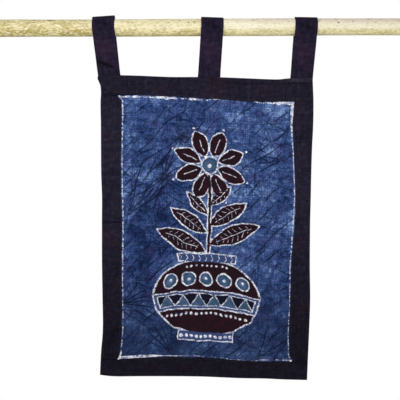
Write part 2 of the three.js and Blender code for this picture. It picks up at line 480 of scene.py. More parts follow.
# %% One half of a strip's section
FOLD_RADIUS = 0.95
LIP_RADIUS = 0.42
PANEL_SLOT = 0.38
SLOT_DEPTH = 5.0
FACE_HEIGHT = 1.05
FACE_STEPS = 15
ARC = np.linspace(0, math.pi / 2, 5)
TIP = np.linspace(-math.pi / 2, math.pi / 2, 6)


def folded_edge():
    """A plain fold: from the outermost point round to the face."""
    return FOLD_RADIUS * (1 - np.cos(ARC)), FOLD_RADIUS * np.sin(ARC)


def lipped_edge(slot):
    """A lip beside a slot: from the slot's floor, round the lip, to the face. slot varies along."""
    inward = np.r_[SLOT_DEPTH, LIP_RADIUS * (1 - np.cos(TIP))]
    height = np.r_[0, LIP_RADIUS * (1 + np.sin(TIP))]
    return inward + 0 * slot, height + slot


def half_section(width, outer, inner, face):
    """Distances from the outer edge and heights, one row for each station along the strip."""
    share = np.linspace(0, 1, FACE_STEPS + 2)[1:-1]
    share = blend(share, eased(share, 0, 1), 0.6)
    outer_q, outer_h = outer
    inner_q, inner_h = inner
    start = outer_q[:, -1:]
    end = width - inner_q[:, -1:]
    face_q = blend(start, end, share[None, :])
    near_outer = np.exp(-(face_q - start) / 5)
    near_inner = np.exp(-(end - face_q) / 4)
    face_h = face(face_q)
    to_outer = (outer_h[:, -1:] - face_h) * near_outer
    to_inner = (inner_h[:, -1:] - face_h) * near_inner
    face_h = face_h + to_outer + to_inner
    q = np.concatenate([outer_q, face_q, width - inner_q[:, ::-1]], axis=1)
    h = np.concatenate([outer_h, face_h, inner_h[:, ::-1]], axis=1)
    return q, h


# %% [markdown]
# A strip is then a rule that turns "share along, distance in from the outer edge" into a place on
# the hanging cloth. Level strips run from side to side. The upright ones run from seam to seam,
# and their ends are pressed thin and go a few millimetres into the level strips, as they are sewn
# on the real one, so no light shows through a seam. Free ends are rounded off over a millimetre.

# %% Strips as rules of place
SEAM_EASE = 0.15
END_ROUND = 1.1
INTO_STRIP = 3.0
PRESSED = 0.4
STATION_STEP = 3.0
END_STEP = 0.35
FINE_ZONE = 5
MIDDLE_DROP = 300.0


def level_strip(edge, way, widths):
    def place(share, inward):
        x = blend(left_edge(MIDDLE_DROP), right_edge(MIDDLE_DROP), share) + 0 * inward
        for _ in range(CROSSING_ROUNDS):
            drop = edge(x) + way * inward
            x = blend(left_edge(drop), right_edge(drop), share)
        return x, drop

    return place, lambda x, drop: widths(x)


def upright_strip(edge, way, widths, top, bottom):
    def place(share, inward):
        drop = blend(top(0.0), bottom(0.0), share) + 0 * inward
        for _ in range(CROSSING_ROUNDS):
            x = edge(drop) + way * inward
            drop = blend(top(x), bottom(x), share)
        return x, drop

    return place, lambda x, drop: widths(drop)


def moved(line, by):
    return lambda at: line(at) + by


# %% Ends of a strip


def pressed_share(to_end, kind):
    """1 where a strip's end is pressed thin inside a seam, 0 where it has its full thickness."""
    if kind != "tucked":
        return 0 * to_end
    full = np.clip((to_end - INTO_STRIP + 0.3) / 1.6, 0, 1)
    return 1 - np.sqrt(1 - (1 - full) ** 2)


def end_shape(to_end, kind):
    """How much of its thickness a strip has near an end, rounded or tucked into a seam."""
    if kind != "tucked":
        return np.sqrt(1 - (1 - np.clip(to_end, 0.02, END_ROUND) / END_ROUND) ** 2)
    return blend(1, PRESSED, pressed_share(to_end, kind))


# %% [markdown]
# The face of a strip isn't quite flat either. Each row of stitches pulls a shallow groove: one
# along the inner seam, and one near the outer fold, where the cloth between stays a little
# thicker. The top strip's row lies 7 mm below its edge, and the ends of the loops inside it print
# through as soft steps.

# %% Relief of the strips
straps = columns("at_rod at_seam crown_left crown_right", [
    (-173.2, -163.8, 4.6, 7.2),
    (11.5, 6, 3.4, 2),
    (170.6, 163.2, 2.6, 2),
])
STRAP_WIDTH = 38
STRAP_INSET = 26
TOP_STITCH_AT = 7.4
SEAM_STITCH_AT = 2.6
EDGE_STITCH_AT = 4.4
HEM_STITCH_AT = 6.6
EDGE_ROWS = {"top_strip": TOP_STITCH_AT, "bottom_strip": HEM_STITCH_AT}
GROOVE = {"depth": 0.35, "half_width": 1.3}
print(f"rows {EDGE_STITCH_AT} mm from the side edges, {HEM_STITCH_AT} mm above the hem")


def over_strap(x, spread=2.0):
    """1 over the end of a strap inside the top strip and 0 beside it."""
    shares = [eased(STRAP_WIDTH / 2 + spread - np.abs(x - at), 0, 2 * spread)
              for at in straps["at_seam"]]
    return np.maximum.reduce(shares)


def sewn_face(x, inward, width, edge_row, thicker):
    """Height of a face with a row of stitches near each long edge and a thicker outer edge."""
    height = FACE_HEIGHT + smooth_noise(x, inward, 22, 0.25)
    height = height + thicker * (1 - eased(inward, edge_row - 1.0, edge_row))
    for row in (edge_row, width - SEAM_STITCH_AT):
        height = height - GROOVE["depth"] * bump(inward, row, GROOVE["half_width"])
    return height


def side_face(x, inward, width):
    return sewn_face(x, inward, width, EDGE_STITCH_AT, 0.2)


def bottom_face(x, inward, width):
    return sewn_face(x, inward, width, HEM_STITCH_AT, 0.35)


def top_face(x, inward, width):
    # The turned edge is thicker over the right loop and ends in a knob of folded cloth at the left.
    turned = 0.25 + 0.35 * eased(x, 120, 160)
    height = sewn_face(x, inward, width, TOP_STITCH_AT, turned)
    print_through = 0.55 * over_strap(x) * (1 - eased(inward, STRAP_INSET - 1.5, STRAP_INSET + 1.5))
    knob = 1.0 * bump(x, -182, 5) * bump(inward, 6, 5)
    return height + print_through + knob


# %% [markdown]
# Now the strip itself. Its points come from the section and the rule of place, and the middle of
# the cloth from the way it hangs. The "wear_and_painted_light" values are written here too, where
# the script knows how far each point is from an edge, a stitch groove or a sewn end: pale edges of
# wear and painted highlight, and painted shade in the grooves and seams. The left strip is pieced
# from two lengths, so one of its ends meets the other in a level seam.

# %% Build a strip
PIECED_SEAM_DROP = 330.6


def panel_slot(x):
    """Half-width of the slot between the lips: the panel's edge, or an upright strip's end."""
    beside_window = eased(np.abs(x), WINDOW_WIDTH / 2 - 4, WINDOW_WIDTH / 2)
    return PANEL_SLOT + 0.2 * beside_window


def build_strip(name, rule, length, face, ends, tab_slots=False):
    place, width_at = rule
    along = spaced(length, END_STEP, STATION_STEP, FINE_ZONE)[:, None] / length
    x0, drop0 = place(along, np.zeros_like(along))
    width = width_at(x0, drop0) - SEAM_EASE
    if tab_slots:
        outer = lipped_edge(0.12 + 0.9 * over_strap(x0, 2.5))
    else:
        outer = [part[None, :] + 0 * along for part in folded_edge()]
    lies_level = ends[0] == ends[1] == "rounded"
    inner = lipped_edge(panel_slot(x0) if lies_level else PANEL_SLOT + 0 * along)
    q, h = half_section(width, outer, inner, lambda inward: face(x0 + 0 * inward, inward, width))
    to_ends = [(along * length, ends[0]), ((1 - along) * length, ends[1])]
    for to_end, kind in to_ends:
        h = h * end_shape(to_end, kind)
        # Inside the seam the end is cut back a little, so it doesn't peep out at the side.
        q = np.maximum(q, 1.4 * pressed_share(to_end, kind))
    ring_q = np.concatenate([q, q[:, ::-1]], axis=1)
    ring_h = np.concatenate([-h, h[:, ::-1]], axis=1)
    if not tab_slots:
        # The fold's outermost point lies on the mirror line, so it is kept once.
        ring_q, ring_h = ring_q[:, :-1], ring_h[:, :-1]
    x, drop = place(along + 0 * ring_q, ring_q)
    points = np.stack([x, hang(x, drop) + ring_h, -drop], axis=-1)
    flat = np.stack([x, -drop], axis=-1)
    row_at = EDGE_ROWS.get(name, EDGE_STITCH_AT)
    # Pale on the outer fold and on the band up to the stitch row: wear, and partly a painted
    # highlight.
    wear_and_painted_light = 0.6 * np.exp(-ring_q / 1.6) * (np.abs(ring_h) < 1.3)
    # The top strip's turned edge is palest, and its stitch groove darkest, at its right end over
    # the
    # end of the loop: wear, painted highlight and painted shade.
    right_loop_wear_and_shading = eased(x, 118, 145) if tab_slots else 0
    wear_and_painted_light += (0.3 + 0.55 * right_loop_wear_and_shading) * (1 - eased(ring_q, row_at - 1.2, row_at - 0.4))
    # Below zero in both stitch grooves: painted shade.
    wear_and_painted_light -= (0.8 + 0.5 * right_loop_wear_and_shading) * bump(ring_q, row_at + 0.2, 1.0)
    wear_and_painted_light -= 0.5 * bump(width - ring_q, SEAM_STITCH_AT, 0.9)
    # Painted shade at pieced seams and tucked ends; pale rounded ends: wear and painted highlight.
    for to_end, kind in to_ends:
        if kind == "pieced":
            wear_and_painted_light -= 1.2 * np.exp(-to_end / 0.9)
        elif kind == "rounded":
            wear_and_painted_light += 0.5 * np.exp(-to_end / 1.2)
        else:
            wear_and_painted_light -= 0.7 * bump(to_end, INTO_STRIP, 1.2)
    faces = rings_to_faces(*ring_q.shape)
    strip = make_object(name, points, faces, flat, np.clip(wear_and_painted_light, -1, 1))
    face_out(strip)
    return strip, (length * MM, float(np.mean(width)) * MM)


# %% The five strips
into_top = moved(top_seam, -INTO_STRIP)
into_bottom = moved(bottom_seam, INTO_STRIP)


def piecing(x):
    return PIECED_SEAM_DROP + 0 * x


def left_width(drop):
    return left_seam(drop) - left_edge(drop)


def right_width(drop):
    return right_edge(drop) - right_seam(drop)


# Each strip: its rule of place, length, face and ends.
strip_plan = {
    "top_strip": (
        level_strip(top_edge, 1, top_strip),
        362, top_face, ("rounded", "rounded"),
    ),
    "bottom_strip": (
        level_strip(bottom_edge, -1, bottom_strip),
        353, bottom_face, ("rounded", "rounded"),
    ),
    "left_strip_upper": (
        upright_strip(left_edge, 1, left_width, into_top, piecing),
        217, side_face, ("tucked", "pieced"),
    ),
    "left_strip_lower": (
        upright_strip(left_edge, 1, left_width, piecing, into_bottom),
        234, side_face, ("pieced", "tucked"),
    ),
    "right_strip": (
        upright_strip(right_edge, -1, right_width, into_top, into_bottom),
        448, side_face, ("tucked", "tucked"),
    ),
}
strips = {}
strip_cuts = {}
for name, (rule, length, face, ends) in strip_plan.items():
    tab_slots = name == "top_strip"
    strips[name], strip_cuts[name] = build_strip(name, rule, length, face, ends, tab_slots)
    print(f"{name}: {len(strips[name].data.polygons)} faces, flat {strip_cuts[name]}")

# %% [markdown]
# ## The loops
#
# Each loop is a flat tube of cotton. It goes up from the seam, round the rod and down behind, and
# a pressed crease keeps its top from lying snugly on the rod. Seen along the rod the path is
# straight leg, arc, soft crease, arc, straight leg, and the two legs meet in the seam. The loops
# lean, because the cloth hangs a little off their places on the rod.

# %% Path of a loop seen along the rod
STRAP_THICKNESS = 1.25
STRAP_CLEARANCE = 0.4
STRAP_STATIONS = 110
STRAP_AT_SEAM = 0.46
INTO_SEAM = 4.0


def arc_points(radius, start, end):
    angle = np.linspace(start, end, 60)
    return np.stack([radius * np.cos(angle), radius * np.sin(angle)], axis=1)


def strap_path(bar_radius, crown, seam_z):
    """Evenly spaced points (depth, height) of the strap's middle line, from front to back."""
    radius = bar_radius + STRAP_CLEARANCE + STRAP_THICKNESS / 2
    reach = math.hypot(STRAP_AT_SEAM, seam_z)
    touch = math.pi / 2 - (math.acos(radius / reach) - math.atan2(STRAP_AT_SEAM, -seam_z))
    peak = (bar_radius + crown - STRAP_THICKNESS / 2) / radius
    cos_lift = peak - math.sqrt(max(peak * peak - 1, 0))
    lift = math.acos(min(cos_lift, 1))
    t = np.linspace(0, 1, 30)[:, None]
    start = np.array([-radius * math.sin(lift), radius * math.cos(lift)])
    control = np.array([0, radius / cos_lift])
    crease = (1 - t) ** 2 * start + 2 * t * (1 - t) * control + t ** 2 * start * [-1, 1]
    points = np.concatenate([
        [[-STRAP_AT_SEAM, seam_z - INTO_SEAM], [-STRAP_AT_SEAM, seam_z]],
        arc_points(radius, math.pi + touch, math.pi / 2 + lift),
        crease[1:-1],
        arc_points(radius, math.pi / 2 - lift, -touch),
        [[STRAP_AT_SEAM, seam_z], [STRAP_AT_SEAM, seam_z - INTO_SEAM]],
    ])
    run = np.r_[0, np.cumsum(np.linalg.norm(np.diff(points, axis=0), axis=1))]
    even = np.linspace(0, run[-1], STRAP_STATIONS)
    return np.stack([np.interp(even, run, points[:, i]) for i in (0, 1)], axis=1), run[-1]


# %% [markdown]
# The tube's own section is a flat oval, a little thinner where it is pressed into the seam. The
# left loop has a soft diagonal crease low on its front, as the photograph shows: the cloth below
# it stands out slightly, the dent along the crease gets painted shade, and a painted highlight
# lies just below it.

# %% Build a loop
STRAP_FACE_POINTS = 22
SEAM_PRESS = 0.36
LEG_BOW = 0.9
LEFT_CREASE = {"at": (-166.0, -65.5), "slope": -0.36, "stand": 3.0, "soft": 1.9}


def strap_ring(half_width, half_thickness):
    """Offsets round the tube's section: across the strap and out of its face."""
    across = np.linspace(-1, 1, STRAP_FACE_POINTS) * (half_width - half_thickness)
    turn = np.linspace(-math.pi / 2, math.pi / 2, 5)[1:-1]
    right = np.stack([half_width - half_thickness + half_thickness * np.cos(turn),
                      half_thickness * np.sin(turn)], axis=1)
    front = np.stack([across, np.full(len(across), -half_thickness)], axis=1)
    back = np.stack([across[::-1], np.full(len(across), half_thickness)], axis=1)
    left = right * [-1, -1]
    return np.concatenate([front, right, back, left])


def build_strap(name, at_rod, at_seam, crown_left, crown_right, crease=None):
    bar = float(rod_diameter(at_rod)) / 2
    rise = float(rod_rise(at_rod))
    seam_z = -float(top_edge(at_seam)) - rise
    (left_path, length), (right_path, _) = [
        strap_path(bar, crown, seam_z) for crown in (crown_left, crown_right)]
    ring = strap_ring(STRAP_WIDTH / 2, STRAP_THICKNESS / 2)
    share = (ring[:, 0] / STRAP_WIDTH + 0.5)[None, :, None]
    path = left_path[:, None, :] + (right_path - left_path)[:, None, :] * share
    way = np.gradient(path, axis=0)
    way /= np.linalg.norm(way, axis=2, keepdims=True)
    near_seam = 1 - eased(path[..., 1] - seam_z, -1.0, 12.0)
    pressed = 1 - SEAM_PRESS * near_seam
    out = -ring[None, :, 1] * pressed
    down = np.clip(path[..., 1] / seam_z, 0, 1.1)
    x = blend(at_rod, at_seam, down) + ring[None, :, 0] * (1 + 0.012 * near_seam)
    y = path[..., 0] - way[..., 1] * out
    z = path[..., 1] + way[..., 0] * out + rise
    z -= (top_edge(x) - top_edge(at_seam)) * np.clip(down, 0, 1)
    # The cloth is soft: the legs bow out a little between the rod and the seam.
    free = np.sin(math.pi * np.clip(down, 0, 1)) * (1 - near_seam)
    facing = np.sign(path[..., 0])
    y += facing * free * LEG_BOW + smooth_noise(x, z, 18, 0.5) * free
    painted_crease_shading = 0
    if crease:
        below = crease["at"][1] + crease["slope"] * (x - crease["at"][0]) - z
        stand = crease["stand"] * eased(below, -crease["soft"], crease["soft"])
        y -= stand * (facing < 0) * eased(z - (seam_z + rise), 1.0, 9.0)
        # Painted shade in the dent of the crease, and a painted highlight just below it, on the
        # front.
        painted_crease_shading = (0.5 * bump(below, 4.6, 3.0) - 1.7 * bump(below, -0.8, 2.6)) * (facing < 0)
        painted_crease_shading = painted_crease_shading * (1 - 0.75 * eased(ring[None, :, 0], 1, 15))
    run = np.linspace(0, length, STRAP_STATIONS)[:, None] + 0 * x
    flat = np.stack([ring[None, :, 0] + 0 * x, run], axis=-1)
    # Pale along the loop's edges and over its top: wear, and partly a painted highlight.
    wear_and_painted_light = 0.5 * bump(np.abs(ring[None, :, 0]), STRAP_WIDTH / 2, 1.2) + 0 * x
    wear_and_painted_light = wear_and_painted_light + 0.5 * bump(run, length / 2, 2.0) + painted_crease_shading
    faces = rings_to_faces(*x.shape)
    strap = make_object(name, np.stack([x, y, z], axis=-1), faces, flat, np.clip(wear_and_painted_light, -1, 1))
    face_out(strap)
    return strap, (STRAP_WIDTH * MM, length * MM)


# %% The three loops
strap_pieces = {}
strap_cuts = {}
for name, row in zip(("left", "middle", "right"), zip(*straps.values())):
    crease = LEFT_CREASE if name == "left" else None
    made = build_strap(f"{name}_loop", *map(float, row), crease=crease)
    strap_pieces[name], strap_cuts[name] = made
    print(f"{name} loop: {strap_cuts[name][1]:.3f} m of cotton")

# %% [markdown]
# ## The rod
#
# A peeled stick is nearly round, but it swells at old knots, and the knife leaves long flats on
# it. The rings of points follow the measured thickness, with a long-grained noise and a few knots,
# and close over square-cut ends with a small rubbed edge.

# %% Relief of the rod
ROD_LENGTH = 760
ROD_AROUND = 56
ROD_STEP = 4
GRAIN = {"height": 0.16, "along": 60, "round": 3}
# Each knot: place along the rod, its angle from the front, its half-length and its height.
knots = columns("along angle half_length height", [
    (-318, 60, 9, 0.5),
    (-236, -35, 7, 0.35),
    (-92, 140, 8, 0.5),
    (62, 48, 7, 0.3),
    (247, -150, 9, 0.5),
    (322, 25, 8, 0.35),
])
# The rubbed edge of a cut end, the share of it that is left on the way round, and the two smaller
# rings that close the end, as shares of its radius.
CHAMFER = 0.9
CHAMFER_LEFT = 0.35
END_RINGS = (0.35, 0.75)


def rod_relief(x, angle):
    bumps = np.zeros(np.shape(x))
    for along, at, half_length, height in zip(*knots.values()):
        turn = np.angle(np.exp(1j * (angle - math.radians(at))))
        bumps += height * bump(x, along, half_length) * bump(turn, 0, 0.45)
    flat = np.stack([np.ravel(x) / GRAIN["along"], np.ravel(np.cos(angle)) * GRAIN["round"],
                     np.ravel(np.sin(angle)) * GRAIN["round"]], axis=1)
    grain = np.reshape([noise.noise(Vector(p)) for p in flat], np.shape(x)) * GRAIN["height"]
    return bumps + grain


# %% Build the rod


def build_rod():
    half = ROD_LENGTH / 2
    inner = np.linspace(-half + CHAMFER, half - CHAMFER, int(ROD_LENGTH / ROD_STEP))
    x = np.r_[-half, -half, -half, -half + CHAMFER / 3, inner, half - CHAMFER / 3, half, half, half]
    angle = np.arange(ROD_AROUND) * 2 * math.pi / ROD_AROUND
    xx, aa = np.meshgrid(x, angle, indexing="ij")
    radius = rod_diameter(xx) / 2 + rod_relief(xx, aa)
    radius[[2, -3]] -= CHAMFER
    radius[[3, -4]] -= CHAMFER * CHAMFER_LEFT
    for row, share in zip((0, 1, -1, -2), END_RINGS * 2):
        radius[row] = (rod_diameter(xx[row]) / 2 - CHAMFER) * share
    y = -radius * np.cos(aa)
    z = radius * np.sin(aa) + rod_rise(xx)
    rod = make_object("peeled_rod", np.stack([xx, y, z], axis=-1), rings_to_faces(*xx.shape))
    face_out(rod)
    return rod


rod = build_rod()
print(f"rod: {len(rod.data.polygons)} faces")

# %% [markdown]
# ## Arithmetic for surfaces
#
# Cloth patterns are easiest to write as sums: "the distance to this line is less than a
# millimetre". Blender's Math nodes can do that, but a hundred of them placed one by one are hard
# to read. So a small class lets Python's own signs add the nodes. Colours are given as a picture
# program shows them, from 0 to 255, and turned into Blender's linear values.
#
# Cycles works the nodes out in the order in which they were made, and keeps each result until it
# is used. So a helper makes a node's inputs before the node itself, and a noise that many effects
# share is made once and handed to each. That keeps a material as large as the batik from running
# out of room, which would turn it black.

# %% Amounts


def connect(tree, value, socket):
    if isinstance(value, Amount):
        tree.links.new(value.socket, socket)
    elif isinstance(value, bpy.types.NodeSocket):
        tree.links.new(value, socket)
    else:
        socket.default_value = value


def math_node(tree, operation, *values):
    node = tree.nodes.new("ShaderNodeMath")
    node.operation = operation
    for value, socket in zip(values, node.inputs):
        connect(tree, value, socket)
    return Amount(tree, node.outputs[0])


class Amount:
    """A number that changes over a surface. Python's signs on it add Math nodes."""

    def __init__(self, tree, socket):
        self.tree = tree
        self.socket = socket

    def do(self, operation, *others):
        return math_node(self.tree, operation, self, *others)

    def __add__(self, other):
        return self.do("ADD", other)

    def __sub__(self, other):
        return self.do("SUBTRACT", other)

    def __mul__(self, other):
        return self.do("MULTIPLY", other)

    def __truediv__(self, other):
        return self.do("DIVIDE", other)

    def __rsub__(self, other):
        return math_node(self.tree, "SUBTRACT", other, self)

    def __neg__(self):
        return self * -1

    __radd__ = __add__
    __rmul__ = __mul__

    def size(self):
        return self.do("ABSOLUTE")

    def least(self, other):
        return self.do("MINIMUM", other)

    def most(self, other):
        return self.do("MAXIMUM", other)

    def ramp(self, start, end):
        """0 before start, 1 after end, smooth between. With start above end it falls instead."""
        node = self.tree.nodes.new("ShaderNodeMapRange")
        node.interpolation_type = "SMOOTHSTEP"
        for value, socket in zip((self, start, end), node.inputs):
            connect(self.tree, value, socket)
        return Amount(self.tree, node.outputs[0])


# %% Noises and cells


def spot(tree, x, y, z=0.0):
    node = tree.nodes.new("ShaderNodeCombineXYZ")
    for value, socket in zip((x, y, z), node.inputs):
        connect(tree, value, socket)
    return node.outputs[0]


def cloud(tree, x, y, z=0.0, detail=1.0, roughness=0.5):
    """Smooth noise between 0 and 1. Divide x and y by the wanted size of its patches."""
    place = spot(tree, x, y, z)
    node = tree.nodes.new("ShaderNodeTexNoise")
    connect(tree, place, node.inputs["Vector"])
    node.inputs["Scale"].default_value = 1
    node.inputs["Detail"].default_value = detail
    node.inputs["Roughness"].default_value = roughness
    return Amount(tree, node.outputs["Fac"])


def cell_edges(tree, x, y, z=0.0):
    """Distance to the nearest border between random cells about 1 across."""
    place = spot(tree, x, y, z)
    node = tree.nodes.new("ShaderNodeTexVoronoi")
    node.feature = "DISTANCE_TO_EDGE"
    connect(tree, place, node.inputs["Vector"])
    node.inputs["Scale"].default_value = 1
    return Amount(tree, node.outputs["Distance"])


# %% Colours and layers


def dye(red, green, blue):
    """A linear colour from the 0 to 255 values of a picture program."""
    shares = [c / 255 for c in (red, green, blue)]
    return (*[c / 12.92 if c <= 0.04045 else ((c + 0.055) / 1.055) ** 2.4 for c in shares], 1)


def layer(tree, under, over, mask):
    """One colour laid over another where the mask is 1."""
    node = tree.nodes.new("ShaderNodeMix")
    node.data_type = "RGBA"
    connect(tree, mask, node.inputs[0])
    connect(tree, under, node.inputs[6])
    connect(tree, over, node.inputs[7])
    return node.outputs[2]


def shades(tree, amount, stops):
    """A row of colours along an amount: stops are pairs of a place and a colour."""
    node = tree.nodes.new("ShaderNodeValToRGB")
    connect(tree, amount, node.inputs[0])
    ramp = node.color_ramp
    while len(ramp.elements) < len(stops):
        ramp.elements.new(0.5)
    for element, (place, colour) in zip(ramp.elements, stops):
        element.position = place
        element.color = colour
    return node.outputs[0]


def brightened(tree, colour, amount):
    """The colour times an amount near 1."""
    node = tree.nodes.new("ShaderNodeVectorMath")
    node.operation = "SCALE"
    connect(tree, colour, node.inputs[0])
    connect(tree, amount, node.inputs["Scale"])
    return node.outputs[0]


# %% Effects shared by materials


def effect(name, inputs, outputs, make):
    """A shader node group: make() gets its inputs as Amounts and returns its outputs in order."""
    tree = bpy.data.node_groups.new(name, "ShaderNodeTree")
    for label, value in inputs.items():
        socket = tree.interface.new_socket(label, in_out="INPUT", socket_type="NodeSocketFloat")
        socket.default_value = value
    for label in outputs:
        tree.interface.new_socket(label, in_out="OUTPUT", socket_type="NodeSocketFloat")
    entry = tree.nodes.new("NodeGroupInput")
    leave = tree.nodes.new("NodeGroupOutput")
    results = make(tree, *[Amount(tree, entry.outputs[label]) for label in inputs])
    for result, label in zip(results, outputs):
        connect(tree, result, leave.inputs[label])
    print(f"effect {name}: {len(tree.nodes)} nodes")
    return tree


def placed(tree, group, *values):
    """Puts an effect into a material and returns its outputs as Amounts."""
    node = tree.nodes.new("ShaderNodeGroup")
    node.node_tree = group
    for value, socket in zip(values, node.inputs):
        connect(tree, value, socket)
    return [Amount(tree, socket) for socket in node.outputs]


# %% [markdown]
# Plain-weave cotton: warp and weft threads pass over and under each other in a chequer pattern. In
# each small square one of the two is on top, so the height is the larger of two rounded threads.
# No thread is even: some are thicker and take more dye, which shows as faint streaks both ways.

# %% Plain weave


def weave_effect(tree, across, along, pitch, wander):
    drift = cloud(tree, across / 9, along / 9) - 0.5
    x = (across + drift * wander) / pitch * math.pi
    y = (along - drift * wander) / pitch * math.pi
    over = x.do("SINE") * y.do("SINE")
    warp = x.do("SINE").size() * (over * 0.5 + 0.5)
    weft = y.do("SINE").size() * (0.5 - over * 0.5)
    streaks = cloud(tree, across / (pitch * 2.2), along / 26, 3.1) - 0.5
    streaks = streaks + cloud(tree, across / 26, along / (pitch * 2.2), 7.7) - 0.5
    return warp.most(weft), streaks * 2


plain_weave = effect(
    "plain weave",
    {"Across": 0, "Along": 0, "Thread Pitch": 0.55, "Wander": 0.5},
    ("Height", "Streaks"),
    weave_effect,
)

# %% [markdown]
# Dark cotton goes grey where it is handled: on folded edges and on the tops of seams, and the same
# pale colour also stands for a painted highlight there. The mesh's "wear_and_painted_light" values
# above zero say where those are, and a fine noise breaks them up, because wear is never even. A few
# loose fibres and specks of lint lie on the rest. The values below zero aren't read here: the
# cotton's own material paints shade into its creases, seams and stitch grooves by them.

# %% Wear, painted highlight and lint


def wear_and_highlight_effect(tree, across, along, edge, amount):
    patches = cloud(tree, across / 11, along / 11, 1.3, detail=3)
    fine = cloud(tree, across / 1.1, along / 1.1, 5.2)
    wear_and_highlight = (edge * (patches * 0.9 + fine * 0.7)).ramp(0.25, 1.0) * amount
    fuzz = cell_edges(tree, across / 17 + fine * 0.4, along / 13 + patches * 0.5, 2.0)
    lint = fuzz.ramp(0.012, 0.0) * cloud(tree, across / 5, along / 5, 9.0).ramp(0.6, 0.72)
    return wear_and_highlight, lint


edge_wear_and_highlight = effect(
    "rubbed edges and highlights",
    {"Across": 0, "Along": 0, "Edge": 0, "Amount": 0.5},
    ("Wear and Highlight", "Lint"),
    wear_and_highlight_effect,
)


# %% A material to start from


def new_material(name, roughness, sheen=0.0, sheen_tint=(1, 1, 1, 1), specular=0.06):
    """A material with one Principled shader, its tree and that shader."""
    made = bpy.data.materials.new(name)
    made.use_nodes = True
    shader = made.node_tree.nodes["Principled BSDF"]
    shader.inputs["Roughness"].default_value = roughness
    shader.inputs["Sheen Weight"].default_value = sheen
    shader.inputs["Sheen Roughness"].default_value = 0.5
    shader.inputs["Sheen Tint"].default_value = sheen_tint
    shader.inputs["Specular IOR Level"].default_value = specular
    return made, made.node_tree, shader


def in_millimetres(tree, place, parts):
    """The first parts of a place, as Amounts in millimetres."""
    split = tree.nodes.new("ShaderNodeSeparateXYZ")
    tree.links.new(place, split.inputs[0])
    return [Amount(tree, socket) * MM_IN_A_METRE for socket in split.outputs[:parts]]


def flat_place(tree):
    """x and y on the flat cloth, from the piece's UV map."""
    uv = tree.nodes.new("ShaderNodeUVMap")
    uv.uv_map = "Cloth"
    return in_millimetres(tree, uv.outputs[0], 2)


def object_place(tree):
    """x, y and z in the object's own frame."""
    coordinates = tree.nodes.new("ShaderNodeTexCoord")
    return in_millimetres(tree, coordinates.outputs["Object"], 3)


def relief(tree, shader, height):
    """A bump for heights given in millimetres."""
    bump_node = tree.nodes.new("ShaderNodeBump")
    bump_node.inputs["Distance"].default_value = MM
    connect(tree, height, bump_node.inputs["Height"])
    tree.links.new(bump_node.outputs[0], shader.inputs["Normal"])


# %% [markdown]
# The strips and the loops are the same kind of cotton out of two dye baths: the strips nearly
# black, the loops more plum. One recipe makes both. Patches where the dye took redder or greyer
# are a hand wide, and a crinkle from washing and folding lies over the weave.

# %% Dark cotton


def dark_cotton(name, shade, redder, greyer, wear_and_highlight_colour, wear_and_highlight_amount, painted_shade):
    """Dark plain cotton: painted_shade is how much painted shade darkens the hem and the top strip.
    """
    made, tree, shader = new_material(name, 0.9, sheen=0.03, sheen_tint=(0.75, 0.72, 0.9, 1))
    x, y = flat_place(tree)
    wear_and_painted_light = tree.nodes.new("ShaderNodeAttribute")
    wear_and_painted_light.attribute_name = "wear_and_painted_light"
    height, streaks = placed(tree, plain_weave, x, y, 0.5)
    wear_and_highlight, lint = placed(tree, edge_wear_and_highlight, x, y, Amount(tree, wear_and_painted_light.outputs["Fac"]), wear_and_highlight_amount)
    wide = cloud(tree, x / 34, y / 34, 0.7, detail=2)
    small = cloud(tree, x / 7, y / 7, 4.1, detail=3)
    crinkle = cloud(tree, x / 3.5 + small, y / 5 - small, 8.3, detail=2)
    colour = layer(tree, shade, redder, wide.ramp(0.5, 0.68))
    colour = layer(tree, colour, greyer, small.ramp(0.52, 0.75) * 0.7)
    colour = layer(tree, colour, wear_and_highlight_colour, wear_and_highlight)
    colour = layer(tree, colour, dye(120, 118, 130), lint * 0.35)
    # Streaks and patches are uneven dye; the weave term is painted shade between the threads.
    light = 1 + streaks * 0.6 + (small - 0.5) * 1.5 + (wide - 0.5) * 1.1 + (height - 0.5) * 0.35
    # Painted shade: in creases, seams and stitch grooves, towards the hem, and along the top strip.
    painted_crease_shade = Amount(tree, wear_and_painted_light.outputs["Fac"]).ramp(-0.05, -0.85)
    light = light * (1 - y.ramp(-270, -560) * painted_shade) * (1 - painted_crease_shade * 0.65)
    light = light * (1 - y.ramp(-155, -120) * painted_shade * 0.35)
    connect(tree, brightened(tree, colour, light), shader.inputs["Base Color"])
    connect(tree, 0.84 + small * 0.14, shader.inputs["Roughness"])
    relief(tree, shader, height * 0.12 + crinkle * 0.45 + small * 0.9 + streaks * 0.05)
    return made


border_cotton = dark_cotton(
    "border cotton",
    shade=dye(34, 31, 46),
    redder=dye(37, 27, 40),
    greyer=dye(40, 39, 54),
    wear_and_highlight_colour=dye(68, 65, 82),
    wear_and_highlight_amount=0.6,
    painted_shade=0.48,
)
tab_cotton = dark_cotton(
    "tab cotton",
    shade=dye(32, 26, 43),
    redder=dye(37, 26, 43),
    greyer=dye(39, 35, 52),
    wear_and_highlight_colour=dye(76, 70, 88),
    wear_and_highlight_amount=0.5,
    painted_shade=0.0,
)
for strip in strips.values():
    strip.data.materials.append(border_cotton)
for strap in strap_pieces.values():
    strap.data.materials.append(tab_cotton)
print("cotton:", border_cotton.name, "and", tab_cotton.name)

# %% [markdown]
# ## Stitches
#
# A machine sews hundreds of equal stitches along a line, which is the kind of work that Geometry
# Nodes are for. A tree turns each path into a row: points one stitch apart, and on each point a
# short bent thread whose ends dive into the cloth. The paths are found by dropping points onto the
# finished strips, front and back, so each stitch lies on the real surface.

# %% Where a sewn row lies on the cloth
PATH_STEP = 2.5
DROP_FROM = 40
FREE_END_MARGIN = 2.0
TUCKED_END_MARGIN = INTO_STRIP + 1.2
